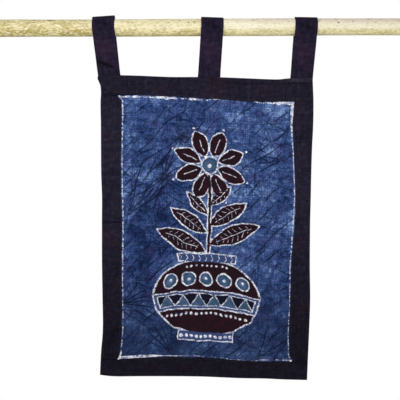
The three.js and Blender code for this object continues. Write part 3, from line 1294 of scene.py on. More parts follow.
# The level strips' inner rows run only along the window, so they start and stop this far in.
WINDOW_MARGINS = (34, 31)


def on_surface(tree, x, drop, facing):
    """The point where a straight line from the front (-1) or the back (1) first meets the cloth."""
    start = Vector((x, facing * DROP_FROM, -drop)) * MM
    return tree.ray_cast(start, Vector((0, -facing, 0)))[0]


def sewn_path(strip, rule, length, inward, margins):
    """Points of one row on both faces of a strip, as two lists."""
    place, width_at = rule
    along = np.arange(margins[0], length - margins[1], PATH_STEP) / length
    x0, drop0 = place(along, 0 * along)
    inward_here = inward if inward > 0 else width_at(x0, drop0) + inward
    x, drop = place(along, inward_here + 0 * along)
    corners = [point.co for point in strip.data.vertices]
    shape = BVHTree.FromPolygons(corners, [face.vertices[:] for face in strip.data.polygons])
    rows = []
    for facing in (-1, 1):
        hits = [on_surface(shape, a, d, facing) for a, d in zip(x, drop)]
        rows.append((facing, [hit for hit in hits if hit is not None]))
    return rows


# %% Paths of the sewn rows
sewn_rows = []
for name, (rule, length, _, ends) in strip_plan.items():
    margins = [TUCKED_END_MARGIN if kind == "tucked" else FREE_END_MARGIN for kind in ends]
    sewn_rows += sewn_path(strips[name], rule, length, EDGE_ROWS.get(name, EDGE_STITCH_AT), margins)
    if name in EDGE_ROWS:
        margins = WINDOW_MARGINS
    sewn_rows += sewn_path(strips[name], rule, length, -SEAM_STITCH_AT, margins)

path_points = [tuple(point) for _, row in sewn_rows for point in row]
path_facing = [(0, facing, 0) for facing, row in sewn_rows for _ in row]
path_edges = []
first = 0
for _, row in sewn_rows:
    path_edges += [(first + i, first + i + 1) for i in range(len(row) - 1)]
    first += len(row)
paths = bpy.data.meshes.new("sewn paths")
paths.from_pydata(path_points, path_edges, [])
facing_values = paths.attributes.new("facing", "FLOAT_VECTOR", "POINT")
facing_values.data.foreach_set("vector", np.ravel(path_facing))
path_piece = bpy.data.objects.new("sewn paths", paths)
bpy.context.scene.collection.objects.link(path_piece)
print(f"{len(sewn_rows)} rows, {len(path_edges) * PATH_STEP * MM:.1f} m of stitching")

# %% One stitch


def add_node(tree, kind, inputs=(), **settings):
    made = tree.nodes.new(kind)
    for label, value in settings.items():
        setattr(made, label, value)
    for label, value in dict(inputs).items():
        connect(tree, value, made.inputs[label])
    return made


def one_stitch(tree, given):
    """A short bent thread whose ends dive into the cloth."""
    half = math_node(tree, "MULTIPLY", given["Stitch Length"], 0.5)
    start = spot(tree, -half, 0, -Amount(tree, given["Dive"]))
    end = spot(tree, half, 0, -Amount(tree, given["Dive"]))
    top = spot(tree, 0, 0, Amount(tree, given["Dive"]) * 1.6)
    bend = add_node(tree, "GeometryNodeCurveQuadraticBezier",
                    {"Resolution": 4, "Start": start, "Middle": top, "End": end})
    round_thread = add_node(tree, "GeometryNodeCurvePrimitiveCircle",
                            {"Resolution": 6, "Radius": given["Thread Radius"]})
    stitch = add_node(tree, "GeometryNodeCurveToMesh",
                      {"Curve": bend.outputs[0], "Profile Curve": round_thread.outputs[0],
                       "Fill Caps": True})
    return stitch.outputs[0]


# %% The tree of a sewn row
# No two stitches lie quite alike: each is turned and sized at random within these limits.
TURN_LEAST, TURN_MOST = (-0.03, -0.02, -0.07), (0.03, 0.02, 0.07)
SIZE_LEAST, SIZE_MOST = (0.9, 0.9, 0.85), (1.05, 1.05, 1.15)


def sewn_row_tree():
    tree = bpy.data.node_groups.new("sewn row", "GeometryNodeTree")
    sockets = [
        ("Paths", "Geometry", None),
        ("Stitch Pitch", "Float", 0.003),
        ("Stitch Length", "Float", 0.0026),
        ("Thread Radius", "Float", 0.0002),
        ("Dive", "Float", 0.0003),
        ("Seed", "Int", 0),
        ("Thread", "Material", None),
    ]
    for label, kind, value in sockets:
        socket = tree.interface.new_socket(label, in_out="INPUT", socket_type=f"NodeSocket{kind}")
        if value is not None:
            socket.default_value = value
    tree.interface.new_socket("Stitches", in_out="OUTPUT", socket_type="NodeSocketGeometry")
    given = tree.nodes.new("NodeGroupInput").outputs
    stitch = one_stitch(tree, given)
    lines = add_node(tree, "GeometryNodeMeshToCurve", {"Mesh": given["Paths"]})
    spaced_out = add_node(tree, "GeometryNodeResampleCurve",
                          {"Curve": lines.outputs[0], "Length": given["Stitch Pitch"]},
                          mode="LENGTH")
    way = add_node(tree, "GeometryNodeInputTangent")
    out = add_node(tree, "GeometryNodeInputNamedAttribute", {"Name": "facing"},
                   data_type="FLOAT_VECTOR")
    along = add_node(tree, "FunctionNodeAlignRotationToVector", {"Vector": way.outputs[0]},
                     axis="X")
    upright = add_node(tree, "FunctionNodeAlignRotationToVector",
                       {"Rotation": along.outputs[0], "Vector": out.outputs[0]},
                       axis="Z", pivot_axis="X")
    jitter = add_node(tree, "FunctionNodeRandomValue",
                      {"Min": TURN_LEAST, "Max": TURN_MOST, "Seed": given["Seed"]},
                      data_type="FLOAT_VECTOR")
    small_turn = add_node(tree, "FunctionNodeEulerToRotation", {0: jitter.outputs[0]})
    turned = add_node(tree, "FunctionNodeRotateRotation",
                      {"Rotation": upright.outputs[0], "Rotate By": small_turn.outputs[0]},
                      rotation_space="LOCAL")
    size = add_node(tree, "FunctionNodeRandomValue",
                    {"Min": SIZE_LEAST, "Max": SIZE_MOST, "Seed": given["Seed"]},
                    data_type="FLOAT_VECTOR")
    rows = add_node(tree, "GeometryNodeInstanceOnPoints",
                    {"Points": spaced_out.outputs[0], "Instance": stitch,
                     "Rotation": turned.outputs[0], "Scale": size.outputs[0]})
    real = add_node(tree, "GeometryNodeRealizeInstances", {0: rows.outputs[0]})
    smooth = add_node(tree, "GeometryNodeSetShadeSmooth", {0: real.outputs[0]})
    coloured = add_node(tree, "GeometryNodeSetMaterial",
                        {0: smooth.outputs[0], "Material": given["Thread"]})
    done = tree.nodes.new("NodeGroupOutput")
    tree.links.new(coloured.outputs[0], done.inputs[0])
    return tree


# %% [markdown]
# The thread is twisted polyester, a shade lighter than the cloth, and a little shiny. The twist is
# far finer than a pixel, so a small noise on the colour and the height stands for it: the colour is
# lighter on the ridges of the twist, a painted highlight.

# %% Sewing thread


def thread():
    made, tree, shader = new_material("sewing thread", 0.5, sheen=0.1, specular=0.3)
    x, y, z = object_place(tree)
    twist = ((x + z) * 9 + y * 4).do("SINE") * 0.5 + 0.5
    tone = cloud(tree, x / 6, z / 6, y, detail=2)
    # Lighter where the twist's ridge stands up: painted highlight; the tone noise is the thread's
    # own.
    colour = layer(tree, dye(33, 30, 44), dye(56, 52, 68), twist * 0.6 + tone * 0.3)
    connect(tree, colour, shader.inputs["Base Color"])
    connect(tree, 0.42 + tone * 0.25, shader.inputs["Roughness"])
    relief(tree, shader, twist * 0.06)
    return made


# %% The stitches as one plain mesh
STITCH_PITCH = 0.0031
STITCH_SEED = 11

sewing_thread = thread()
row_tree = sewn_row_tree()
sewing = path_piece.modifiers.new("sewing", "NODES")
sewing.node_group = row_tree
by_name = {item.name: item.identifier for item in row_tree.interface.items_tree}
sewing[by_name["Seed"]] = STITCH_SEED
sewing[by_name["Stitch Pitch"]] = STITCH_PITCH
sewing[by_name["Thread"]] = sewing_thread
depsgraph = bpy.context.evaluated_depsgraph_get()
stitch_mesh = bpy.data.meshes.new_from_object(path_piece.evaluated_get(depsgraph))
stitch_mesh.name = "border_stitches"
bpy.data.objects.remove(path_piece)
# Realising the stitches leaves an empty slot in front of the thread's. One slot is enough.
stitch_mesh.materials.clear()
stitch_mesh.materials.append(sewing_thread)
stitches = bpy.data.objects.new("border_stitches", stitch_mesh)
bpy.context.scene.collection.objects.link(stitches)
print(f"stitches: {len(stitch_mesh.polygons)} faces of {stitch_mesh.materials[0].name}")

# %% [markdown]
# ## Batik
#
# Batik is drawn in the cloth's own colours, so its pattern belongs to the flat cloth, and the
# shader reads only the UV map. Each motif is a distance: how far this point is from the edge of a
# leaf, a ring or a pot. Below zero is inside, and a thin band round zero is the wax line. All
# distances are taken from a slightly wavy copy of the place, because a hand holding a wax pen
# isn't a ruler.
#
# The picture is a plain folk motif, a flowering plant in a pot, with rings, dots and a band of
# triangles.

# %% Leaf shape


def leaf_effect(tree, x, y, from_x, from_y, angle, length, half_width):
    """A pointed leaf from a given place: its edge is where two circles cross."""
    cosine = angle.do("COSINE")
    sine = angle.do("SINE")
    along = (x - from_x) * cosine + (y - from_y) * sine - length / 2
    across = (y - from_y) * cosine - (x - from_x) * sine
    half = length / 2
    radius = (half * half + half_width * half_width) / (half_width * 2)
    from_circle = across.size() + radius - half_width
    reach = (along * along + from_circle * from_circle).do("SQRT")
    return reach - radius, along, across


leaf = effect(
    "leaf shape",
    {"X": 0, "Y": 0, "From X": 0, "From Y": 0, "Angle": 0, "Length": 60, "Half Width": 12},
    ("Distance", "Along", "Across"),
    leaf_effect,
)


# %% Ring motif


def ring_effect(tree, x, y, at_x, at_y, radius):
    """A ring with a dot in it: wax outline and dot, and a dye that pools darker round the dot."""
    away = ((x - at_x) * (x - at_x) + (y - at_y) * (y - at_y)).do("SQRT")
    outline = (away - radius).size()
    dot = away - radius * 0.17
    shade = (away / radius).ramp(0.35, 0.95)
    return away - radius, outline, dot, shade


ring = effect(
    "ring motif",
    {"X": 0, "Y": 0, "At X": 0, "At Y": 0, "Radius": 12},
    ("Distance", "Outline", "Dot", "Shade"),
    ring_effect,
)


# %% Wax line


def wax_effect(tree, distance, x, y, half_width, breaks, break_size):
    """A line of wax: uneven in width, cracked through here and there, never with a hard edge."""
    swell = cloud(tree, x / 9, y / 9, 11.0, detail=2)
    crumble = cloud(tree, x / break_size, y / break_size, 3.0, detail=2)
    width = half_width * (0.45 + swell * 1.1)
    line = distance.ramp(width + 0.45, width - 0.25)
    gap = (crumble + (swell - 0.5) * 0.8).ramp(breaks - 0.09, breaks + 0.05)
    crust = cloud(tree, x / 1.9, y / 1.9, 7.0, detail=1).ramp(0.34, 0.52) * 0.4 + 0.6
    return (line * gap * crust,)


wax_line = effect(
    "wax line",
    {"Distance": 0, "X": 0, "Y": 0, "Half Width": 0.9, "Breaks": 0.4, "Break Size": 2.2},
    ("Wax",),
    wax_effect,
)

# %% [markdown]
# Where the waxed cloth is crushed, the wax cracks and dye runs in. Cracks run in fans from the
# points where the cloth was pinched, and in long nearly parallel lines where it was folded. Both
# are the borders between random cells on a line: for a fan the line is the angle round its centre,
# and for the parallel cracks it is the distance across them. Each crack dies out and starts again,
# because its strength follows a slow noise along its length.

# %% Fan of cracks


def borders_on_line(tree, place):
    """Distance to the nearest border between random cells about 1 long on a line."""
    node = tree.nodes.new("ShaderNodeTexVoronoi")
    node.voronoi_dimensions = "1D"
    node.feature = "DISTANCE_TO_EDGE"
    connect(tree, place, node.inputs["W"])
    node.inputs["Scale"].default_value = 1
    return Amount(tree, node.outputs["Distance"])


def fan_effect(tree, x, y, bend, ragged, at_x, at_y, aim, spread, reach, rays, blot, seed):
    """Cracks that run out from one pinch, and the blot of dye at it."""
    away_x = x - at_x
    away_y = y - at_y
    away = (away_x * away_x + away_y * away_y).do("SQRT")
    # The angle is taken from the aim, so that its jump from +180 to -180 degrees lies behind.
    angle = math_node(tree, "ARCTAN2", away_y * aim.do("COSINE") - away_x * aim.do("SINE"),
                      away_x * aim.do("COSINE") + away_y * aim.do("SINE"))
    turn = (angle + bend) * rays / (2 * math.pi)
    gap = borders_on_line(tree, turn + seed * 17.3) * away * (2 * math.pi) / rays
    fine = cloud(tree, turn * 0.8, away / 60, seed)
    line = gap.ramp(0.8 + fine * 2.1, 0.25)
    life = cloud(tree, turn * 0.9, away / 48, seed + 3).ramp(0.36, 0.5)
    fade = away.ramp(reach, reach * 0.5) * away.ramp(1.5, 6)
    fade = fade * angle.size().ramp(spread, spread * 0.75)
    stain = (away / blot + ragged * 1.6).ramp(1.5, 0.7)
    return line * life * fade, stain


fan = effect(
    "crackle fan",
    {"X": 0, "Y": 0, "Bend": 0, "Ragged": 0, "At X": 0, "At Y": 0, "Aim": 0, "Spread": 1,
     "Reach": 90, "Rays": 17, "Blot": 10, "Seed": 1},
    ("Lines", "Stain"),
    fan_effect,
)


# %% Parallel cracks


def cracks_effect(tree, x, y, angle, spacing, length, half_width, seed):
    """Nearly parallel cracks, each of which dies out and starts again."""
    along = x * angle.do("COSINE") + y * angle.do("SINE")
    across = y * angle.do("COSINE") - x * angle.do("SINE")
    across = across + (cloud(tree, along / 95, across / 60, seed) - 0.5) * 30
    across = across + (cloud(tree, along / 14, across / 14, seed + 2) - 0.5) * 1.6
    gap = borders_on_line(tree, across / spacing + seed * 9.1) * spacing
    fine = cloud(tree, along / 20, across / 9, seed + 7)
    line = gap.ramp(half_width * (0.4 + fine * 1.4) + 0.45, 0.15)
    life = cloud(tree, along / length, across / spacing * 0.9, seed + 5).ramp(0.47, 0.56)
    return (line * life * fine.ramp(0.2, 0.5),)


cracks = effect(
    "parallel cracks",
    {"X": 0, "Y": 0, "Angle": 0.7, "Spacing": 16, "Length": 50, "Half Width": 0.5, "Seed": 1},
    ("Lines",),
    cracks_effect,
)


# %% Crack net


def net_effect(tree, x, y, size, half_width, seed):
    """A fine net of cracks, in patches where the wax lay thickest."""
    pulled_x = x + (cloud(tree, x / 20, y / 20, seed) - 0.5) * 16
    pulled_y = y + (cloud(tree, x / 20, y / 20, seed + 4) - 0.5) * 16
    edges = cell_edges(tree, pulled_x / size, pulled_y / (size * 0.7), seed) * size
    life = cloud(tree, x / 15, y / 15, seed + 6, detail=2).ramp(0.5, 0.62)
    return (edges.ramp(half_width + 0.3, 0.0) * life,)


crack_net = effect(
    "crack net",
    {"X": 0, "Y": 0, "Size": 12, "Half Width": 0.3, "Seed": 1},
    ("Lines",),
    net_effect,
)


# %% Soft patch


def patch_effect(tree, x, y, at_x, at_y, half_x, half_y):
    """1 in the middle of an oval patch, falling softly to 0 outside it."""
    off_x = (x - at_x) / half_x
    off_y = (y - at_y) / half_y
    return ((off_x * off_x + off_y * off_y).do("SQRT").ramp(1.5, 0.1),)


soft_patch = effect(
    "soft patch",
    {"X": 0, "Y": 0, "At X": 0, "At Y": 0, "Half X": 20, "Half Y": 20},
    ("Mask",),
    patch_effect,
)

# %% [markdown]
# ### The ground
#
# Indigo never dries evenly. Broad patches differ, small clouds lie inside them, and where the
# bath's edge dried, a patch ends in a crisp curved line. The colours below run from the deepest to
# the palest blue of the cloth.

# %% Blues, pinches, patches and tide lines
CLOTH_BLUES = [
    (0.00, dye(19, 33, 70)),
    (0.15, dye(32, 50, 92)),
    (0.30, dye(43, 62, 108)),
    (0.43, dye(53, 74, 123)),
    (0.56, dye(62, 85, 135)),
    (0.69, dye(75, 98, 149)),
    (0.82, dye(99, 125, 176)),
    (1.00, dye(130, 158, 200)),
]
# Where the waxed cloth was pinched: x, y, aim and spread of the fan in radians, reach, rays in a
# full turn, size of the dark blot and a seed.
PINCHES = [
    (-42, 155, -2.25, 0.75, 125, 27, 34, 1.1),
    (-74, 84, -2.3, 0.7, 90, 31, 8, 2.3),
    (-74, 84, 0.5, 1.9, 52, 17, 18, 7.9),
    (-134, 22, 0.95, 0.6, 150, 33, 8, 3.7),
    (-58, -214, 1.75, 1.1, 78, 23, 12, 4.9),
    (126, 122, 2.9, 0.9, 75, 23, 9, 5.3),
    (92, -214, 1.1, 1.0, 85, 19, 12, 6.1),
    (-146, -128, 0.2, 0.9, 85, 23, 9, 8.3),
]
# Where the dye is darker or paler over a soft patch: x, y, half-width, half-height and by how much.
PATCHES = [
    (-84, 182, 62, 34, -0.26),
    (60, 40, 60, 60, 0.1),
    (-20, 100, 52, 15, 0.13),
    (34, 196, 46, 36, 0.07),
    (-134, 140, 6, 62, 0.24),
    (126, 198, 24, 20, 0.24),
    (-110, -10, 34, 60, -0.12),
    (130, -112, 11, 30, 0.16),
    (114, -90, 44, 120, -0.3),
    (-118, -120, 34, 80, -0.12),
    (6, -190, 70, 20, -0.06),
]
# Dried edges of the bath: centre x and y, radius, how far it fades inward, how much it changes the
# blue, then x and y where it has died out and where it is at its full strength.
TIDES = [
    (20, -70, 170, 70, -0.32, (80, 20), (-40, 30)),
    (205, 245, 112, 40, 0.14, (0, 40), (60, 120)),
    (196, -100, 84, 30, 0.1, (90, 110), (-20, -70)),
    (-40, 330, 150, 60, -0.12, (150, 80), (100, 150)),
]


# %% Blue ground


def blue_ground(tree, x, y, streaks):
    broad = cloud(tree, x / 85, y / 85, 0.4, detail=1)
    patches = cloud(tree, x / 30, y / 26, 2.9, detail=2)
    mottle = cloud(tree, x / 8, y / 8, 6.6, detail=3, roughness=0.6)
    grit = cloud(tree, x / 2.3, y / 2.3, 8.8, detail=1)
    blue = 0.55 + (broad - 0.5) * 1.1 + (patches - 0.5) * 1.2 + (mottle - 0.5) * 1.6
    # The y term makes the blue a little paler upwards: painted light.
    blue = blue + (grit - 0.5) * 1.0 + streaks * 0.4 + y * 0.0003
    for at_x, at_y, radius, fade, gain, x_reach, y_reach in TIDES:
        dx = x - at_x
        dy = y - at_y
        inside = radius + (patches - 0.5) * 14 - (dx * dx + dy * dy).do("SQRT")
        change = x.ramp(*x_reach) * y.ramp(*y_reach) * gain
        blue = blue + inside.ramp(-0.6, 0.8) * inside.ramp(fade, 0) * change
        blue = blue - inside.ramp(0.8, -0.6) * inside.ramp(-28, 0) * change * 0.6
    for at_x, at_y, half_x, half_y, gain in PATCHES:
        blue = blue + placed(tree, soft_patch, x, y, at_x, at_y, half_x, half_y)[0] * gain
    colour = shades(tree, blue * 0.82, CLOTH_BLUES)
    violet = cloud(tree, x / 26, y / 26, 12.0, detail=1).ramp(0.5, 0.72)
    colour = layer(tree, colour, dye(70, 64, 118), violet * 0.28)
    # Darker towards the bottom: painted shade.
    return layer(tree, colour, dye(34, 47, 74), y.ramp(-40, -200) * 0.5)


# %% All the cracks
# Sets of nearly parallel cracks: direction in radians, spacing, length, half-width, seed, strength.
CRACK_SETS = [
    (0.75, 15, 70, 1.3, 1, 1),
    (-0.45, 27, 60, 1.1, 2, 0.85),
    (1.3, 24, 45, 0.8, 3, 0.75),
    (0.95, 21, 60, 0.8, 6, 0.75),
]
# The fine net: size of its meshes, half-width and seed.
CRACK_NET = (11, 0.7, 4)
CRACK_NET_STRENGTH = 0.7


def crackle(tree, x, y):
    """All the cracks together: their lines, and the dark stains at the pinches."""
    lines = None
    for *shape, strength in CRACK_SETS:
        found = placed(tree, cracks, x, y, *shape)[0] * strength
        lines = found if lines is None else lines.most(found)
    lines = lines.most(placed(tree, crack_net, x, y, *CRACK_NET)[0] * CRACK_NET_STRENGTH)
    bend = (cloud(tree, x / 50, y / 50, 1.1) - 0.5) * 0.28
    ragged = cloud(tree, x / 5, y / 4, 1.1, detail=2)
    stains = None
    for pinch in PINCHES:
        rays, stain = placed(tree, fan, x, y, bend, ragged, *pinch)
        lines = lines.most(rays)
        stains = stain if stains is None else stains.most(stain)
    return lines, stains


# %% [markdown]
# ### The motif
#
# The plant is made of leaves in pairs. Taking the size of x makes both halves of a pair at once,
# and lifting one side by a few millimetres keeps them from being a mirror image. The flower
# repeats one petal round a circle: the angle is folded into one eighth of a turn. The pot is an
# oval joined to a foot and a rim.

# %% Plant
FLOWER = (3, 108)
FLOWER_RING = 14
PETALS = 8
PETAL = {"from": 15, "length": 47, "half_width": 13}
TIP_DOT = {"out": 67, "radius": 1.7}
STEM = {"x": 2, "half_width": 3.2, "y": 24, "half_height": 68}
LIFT = 7
# Leaves: where each pair leaves the stem, its angle in radians, length and half-width.
LEAVES = [(-34, 0.42, 92, 15), (-2, 0.6, 74, 13), (30, 0.82, 50, 9)]


def plant(tree, x, y):
    """Distances to the plant's fills and to its thin inner lines."""
    side_of = x.do("SIGN")
    lifted = y - side_of * LIFT
    fill = (x - STEM["x"]).size() - STEM["half_width"]
    fill = fill.most((y - STEM["y"]).size() - STEM["half_height"])
    veins = None
    for from_y, angle, length, half_width in LEAVES:
        distance, along, across = placed(
            tree, leaf, x.size(), lifted, STEM["x"], from_y, angle, length, half_width)
        fill = fill.least(distance)
        rib = across.size().most(along.size() - length * 0.33)
        tick = (along + across.size() * 0.7).do("PINGPONG", 4.5).most(distance + half_width * 0.35)
        tick = tick.most(1.8 - across.size() * 0.5)
        vein = (rib + 0.35).least(tick + 0.5)
        veins = vein if veins is None else veins.least(vein)
    dx = x - FLOWER[0]
    dy = y - FLOWER[1]
    away = (dx * dx + dy * dy).do("SQRT")
    eighth = 2 * math.pi / PETALS
    angle = math_node(tree, "ARCTAN2", dy, dx)
    angle = math_node(tree, "FLOORED_MODULO", angle, eighth) - eighth / 2
    petal_x = away * angle.do("COSINE")
    petal_y = away * angle.do("SINE")
    petal, along, across = placed(
        tree, leaf, petal_x, petal_y, PETAL["from"], 0, 0, PETAL["length"], PETAL["half_width"])
    fill = fill.least(petal)
    rib = across.size().most((along + 3).size() - 11) + 0.3
    veins = veins.least(rib)
    centre = placed(tree, ring, x, y, *FLOWER, FLOWER_RING)
    tip_x = petal_x - TIP_DOT["out"]
    tips = ((tip_x * tip_x + petal_y * petal_y).do("SQRT") - TIP_DOT["radius"]).most(4 - fill)
    return fill, veins, centre, tips


# %% Pot
POT = {"y": -118, "half_width": 92, "half_height": 64}
FOOT = {"y": POT["y"] - 66, "half_width": 47, "half_height": 8}
RIM = {"y": POT["y"] + 67, "half_width": 50, "half_height": 7}
BAND = {"y": -122, "half_height": 15, "pitch": 27, "rise": 20}
RING_ROW = {"y": -86, "pitch": 31, "radius": 11.5, "reach": 77.5}
DOTS_Y = BAND["y"] - BAND["half_height"] - 8
DOT_PITCH = 8.5
# The rows bend round the pot: each is lower at its sides, by this much for x squared.
BAND_BEND, RING_BEND, TOP_BEND = 0.0011, 0.0016, 0.0022


def box_distance(x, y, box):
    return (x.size() - box["half_width"]).most((y - box["y"]).size() - box["half_height"])


def pot(tree, x, y):
    """Distances to the pot, its band, triangles, rings and dots."""
    px = x / POT["half_width"]
    py = (y - POT["y"]) / POT["half_height"]
    body = ((px * px + py * py).do("SQRT") - 1) * POT["half_height"]
    foot = box_distance(x, y, FOOT)
    rim = box_distance(x, y, RIM)
    whole = body.least(foot).least(rim)
    curved = y + x * x * BAND_BEND
    band = ((curved - BAND["y"]).size() - BAND["half_height"]).most(body)
    half_pitch = BAND["pitch"] / 2
    zigzag = x.do("PINGPONG", half_pitch) * (BAND["rise"] / half_pitch) - BAND["rise"] / 2
    zigzag = (curved - BAND["y"] - zigzag) * 0.55
    step = x - (x / RING_ROW["pitch"]).do("ROUND") * RING_ROW["pitch"]
    ring_y = y + x * x * RING_BEND
    shoulder = placed(tree, ring, step, ring_y, 0, RING_ROW["y"], RING_ROW["radius"])
    outside = x.size() - RING_ROW["reach"]
    shoulder = [part.most(outside) for part in shoulder[:3]] + shoulder[3:]
    bead = x - (x / DOT_PITCH).do("ROUND") * DOT_PITCH
    row_y = y + x * x * RING_BEND - DOTS_Y
    beads = ((bead * bead + row_y * row_y).do("SQRT") - 1.9).most(body + 4)
    top_y = y + x * x * TOP_BEND + 64
    top_beads = ((bead * bead + top_y * top_y).do("SQRT") - 1.5).most(x.size() - 38)
    beads = beads.least(top_beads)
    foot_y = y - FOOT["y"]
    foot_beads = ((bead * bead + foot_y * foot_y).do("SQRT") - 2.6).most(foot + 1)
    rim_y = (y - RIM["y"]).size()
    rim_ticks = (x + rim_y * 0.6).do("PINGPONG", 5.5).most(rim_y - 4)
    beads = beads.least(foot_beads)
    rim_ticks = rim_ticks.most(rim + 1)
    return whole, band, zigzag, shoulder, beads, rim, foot, rim_ticks


# %% [markdown]
# ### All layers together
#
# The dye shop's order is also the shader's: blue ground, cracks in it, the maroon second bath
# where the motif is, the small blue shapes that were waxed before that bath, and last the wax
# lines, which were never dyed. The wax frame round the picture lies just inside the seam, and
# slips under the strip in a few places. It is uneven: bold at some corners and broken elsewhere.

# %% Maroon bath and blue shapes
INNER_BAND = 5


def dyed_motif(tree, x, y, ground, plant_shapes, pot_shapes):
    """The maroon bath and the small blue shapes laid over the ground."""
    fill, _, centre, _ = plant_shapes
    whole, band, zigzag, shoulder, _, rim, foot, _ = pot_shapes
    motif = fill.least(whole).least(centre[0])
    depth = cloud(tree, x / 12, y / 12, 31.0, detail=3)
    maroon = layer(tree, dye(34, 19, 27), dye(52, 20, 30), depth.ramp(0.45, 0.75))
    colour = layer(tree, ground, maroon, motif.ramp(0.4, -0.4))

    pale = layer(tree, dye(84, 106, 142), dye(58, 88, 116), depth.ramp(0.35, 0.6))
    rings = shoulder[0].least(centre[0])
    ring_fill = layer(tree, pale, dye(22, 28, 56), shoulder[3].least(centre[3]) * 0.55)
    colour = layer(tree, colour, ring_fill, rings.ramp(0.3, -0.3))
    band_fill = layer(tree, dye(18, 20, 38), pale, zigzag.ramp(0.3, -0.3) * 0.75)
    band_fill = layer(tree, band_fill, dye(62, 78, 122), (band + INNER_BAND).ramp(-0.5, 0.5) * 0.9)
    colour = layer(tree, colour, band_fill, band.ramp(0.3, -0.3))
    colour = layer(tree, colour, dye(56, 72, 114), rim.least(foot).ramp(0.0, -1.0))
    return colour, depth, rings


# %% Wax lines
HALF_W = WINDOW_WIDTH / 2
HALF_H = WINDOW_HEIGHT / 2
CORNER_BLOB = 1.6
WAX_WHITES = [
    (0.34, dye(104, 112, 160)),
    (0.43, dye(172, 174, 204)),
    (0.51, dye(228, 230, 240)),
    (0.62, dye(255, 255, 255)),
]


def frame_line(tree, x, y):
    """Distance to the wax frame, and how bold it is there: below 0 it is faint."""
    wander = (cloud(tree, x / 38, y / 38, 21.0, detail=2) - 0.5) * 5
    # It slips under the top strip in one stretch and under the bottom strip in another.
    under_strip = ((x - 44) / 42).size().ramp(1.15, 0.6) * y.ramp(0, 20) * 4.2
    under_strip = under_strip + ((x - 62) / 26).size().ramp(1.2, 0.7) * y.ramp(0, -20) * 2.6
    to_side = (HALF_W - 2.0 + wander * 0.45) - x.size()
    to_level = (HALF_H - 2.4 + wander * 0.5 + under_strip) - y.size()
    # It is bold at the lower left and upper right corners and in a few runs along the top.
    bold = x.ramp(-70, -95) * y.ramp(-208, -218) + x.ramp(90, 125) * y.ramp(150, 205)
    bold = bold + ((x + 73) / 11).size().ramp(1.2, 0.6) * y.ramp(150, 200)
    bold = bold + cloud(tree, x / 13, y / 40, 25.0).ramp(0.5, 0.6) * y.ramp(180, 215) * 0.8
    faint = y.ramp(-40, -150) * (1 - x.ramp(-60, -85) * y.ramp(-190, -212))
    return to_side.least(to_level).size(), bold - faint * 0.24


def wax_lines(tree, x, y, plant_shapes, pot_shapes, rings):
    """Where wax kept the cloth white: each call gives a line's distance, half-width and breaks."""
    fill, veins, centre, tips = plant_shapes
    whole, band, zigzag, shoulder, beads, _, _, rim_ticks = pot_shapes

    def wax(distance, half_width, breaks, break_size=2.2):
        return placed(tree, wax_line, distance, x, y, half_width, breaks, break_size)[0]

    drawn = wax(fill.least(whole).size(), 0.95, 0.38)
    drawn = drawn.most(wax(rings.size(), 1.05, 0.34))
    drawn = drawn.most(wax(shoulder[2].least(centre[2]), 0.8, 0.2))
    drawn = drawn.most(wax(veins, 0.75, 0.4) * fill.ramp(0.0, -1.5))
    drawn = drawn.most(wax(band.size(), 0.9, 0.38))
    drawn = drawn.most(wax((band + INNER_BAND).size(), 0.55, 0.42) * band.ramp(0, -1))
    drawn = drawn.most(wax(zigzag.size(), 0.6, 0.42) * band.ramp(-4.5, -5.5))
    drawn = drawn.most(wax(beads.least(tips), 0.3, 0.25))
    drawn = drawn.most(wax(rim_ticks, 0.6, 0.4))
    edge, bold = frame_line(tree, x, y)
    drawn = drawn.most(wax(edge, 0.75 + bold * 1.3, 0.5 - bold * 0.1, 3.0))
    corner_x = x.size() - HALF_W
    corner_y = y.size() - HALF_H
    corner = (corner_x * corner_x + corner_y * corner_y).do("SQRT") - CORNER_BLOB
    return drawn.most(wax(corner, 1.6, 0.3))


# %% Batik cotton


def batik():
    made, tree, shader = new_material("batik cotton", 0.92, sheen=0.02)
    x, y = flat_place(tree)
    height, streaks = placed(tree, plain_weave, x, y, 0.45)
    # The slightly wavy copy of the place, from which the hand-drawn shapes are measured.
    sway_x = cloud(tree, x / 24, y / 24, 14.0, detail=2) - 0.5
    sway_y = cloud(tree, x / 24, y / 24, 17.0, detail=2) - 0.5
    tremble = cloud(tree, x / 4, y / 4, 19.0) - 0.5
    wx = x + sway_x * 9 + tremble * 1.3
    wy = y + sway_y * 9 - tremble * 1.3

    colour = blue_ground(tree, x, y, streaks)
    lines, stains = crackle(tree, x, y)
    colour = layer(tree, colour, dye(38, 36, 56), stains * 0.8)
    colour = layer(tree, colour, dye(12, 18, 44), lines * 0.94)

    plant_shapes = plant(tree, wx, wy)
    pot_shapes = pot(tree, wx, wy)
    colour, depth, rings = dyed_motif(tree, x, y, colour, plant_shapes, pot_shapes)
    drawn = wax_lines(tree, x, y, plant_shapes, pot_shapes, rings)
    tint = cloud(tree, x / 6, y / 6, 41.0) * 0.5 + cloud(tree, x / 2.4, y / 2.4, 44.0) * 0.5
    white = shades(tree, tint, WAX_WHITES)
    colour = layer(tree, colour, white, drawn)
    # The weave term is painted shade between the threads.
    light = 1 + streaks * 0.1 + (height - 0.5) * 0.16
    connect(tree, brightened(tree, colour, light), shader.inputs["Base Color"])
    connect(tree, 0.86 + depth * 0.12, shader.inputs["Roughness"])
    # Cycles works out a relief three times over, so this one is kept to a few cheap parts.
    relief(tree, shader, height * 0.09 + depth * 0.25 + sway_x * 1.2)
    return made


batik_cotton = batik()
panel.data.materials.append(batik_cotton)
print("batik nodes:", len(batik_cotton.node_tree.nodes))

# %% [markdown]
# ## Peeled wood
#
# Under the bark of a pole the wood is pale cream with long straight grain. On this one the left
# part is covered in small golden flecks, where strands of the inner bark stayed on, and there are
# a few dark specks. The pattern reads the rod's Object coordinates: the place along it, and the
# angle round it turned into millimetres. The square-cut ends show year rings.

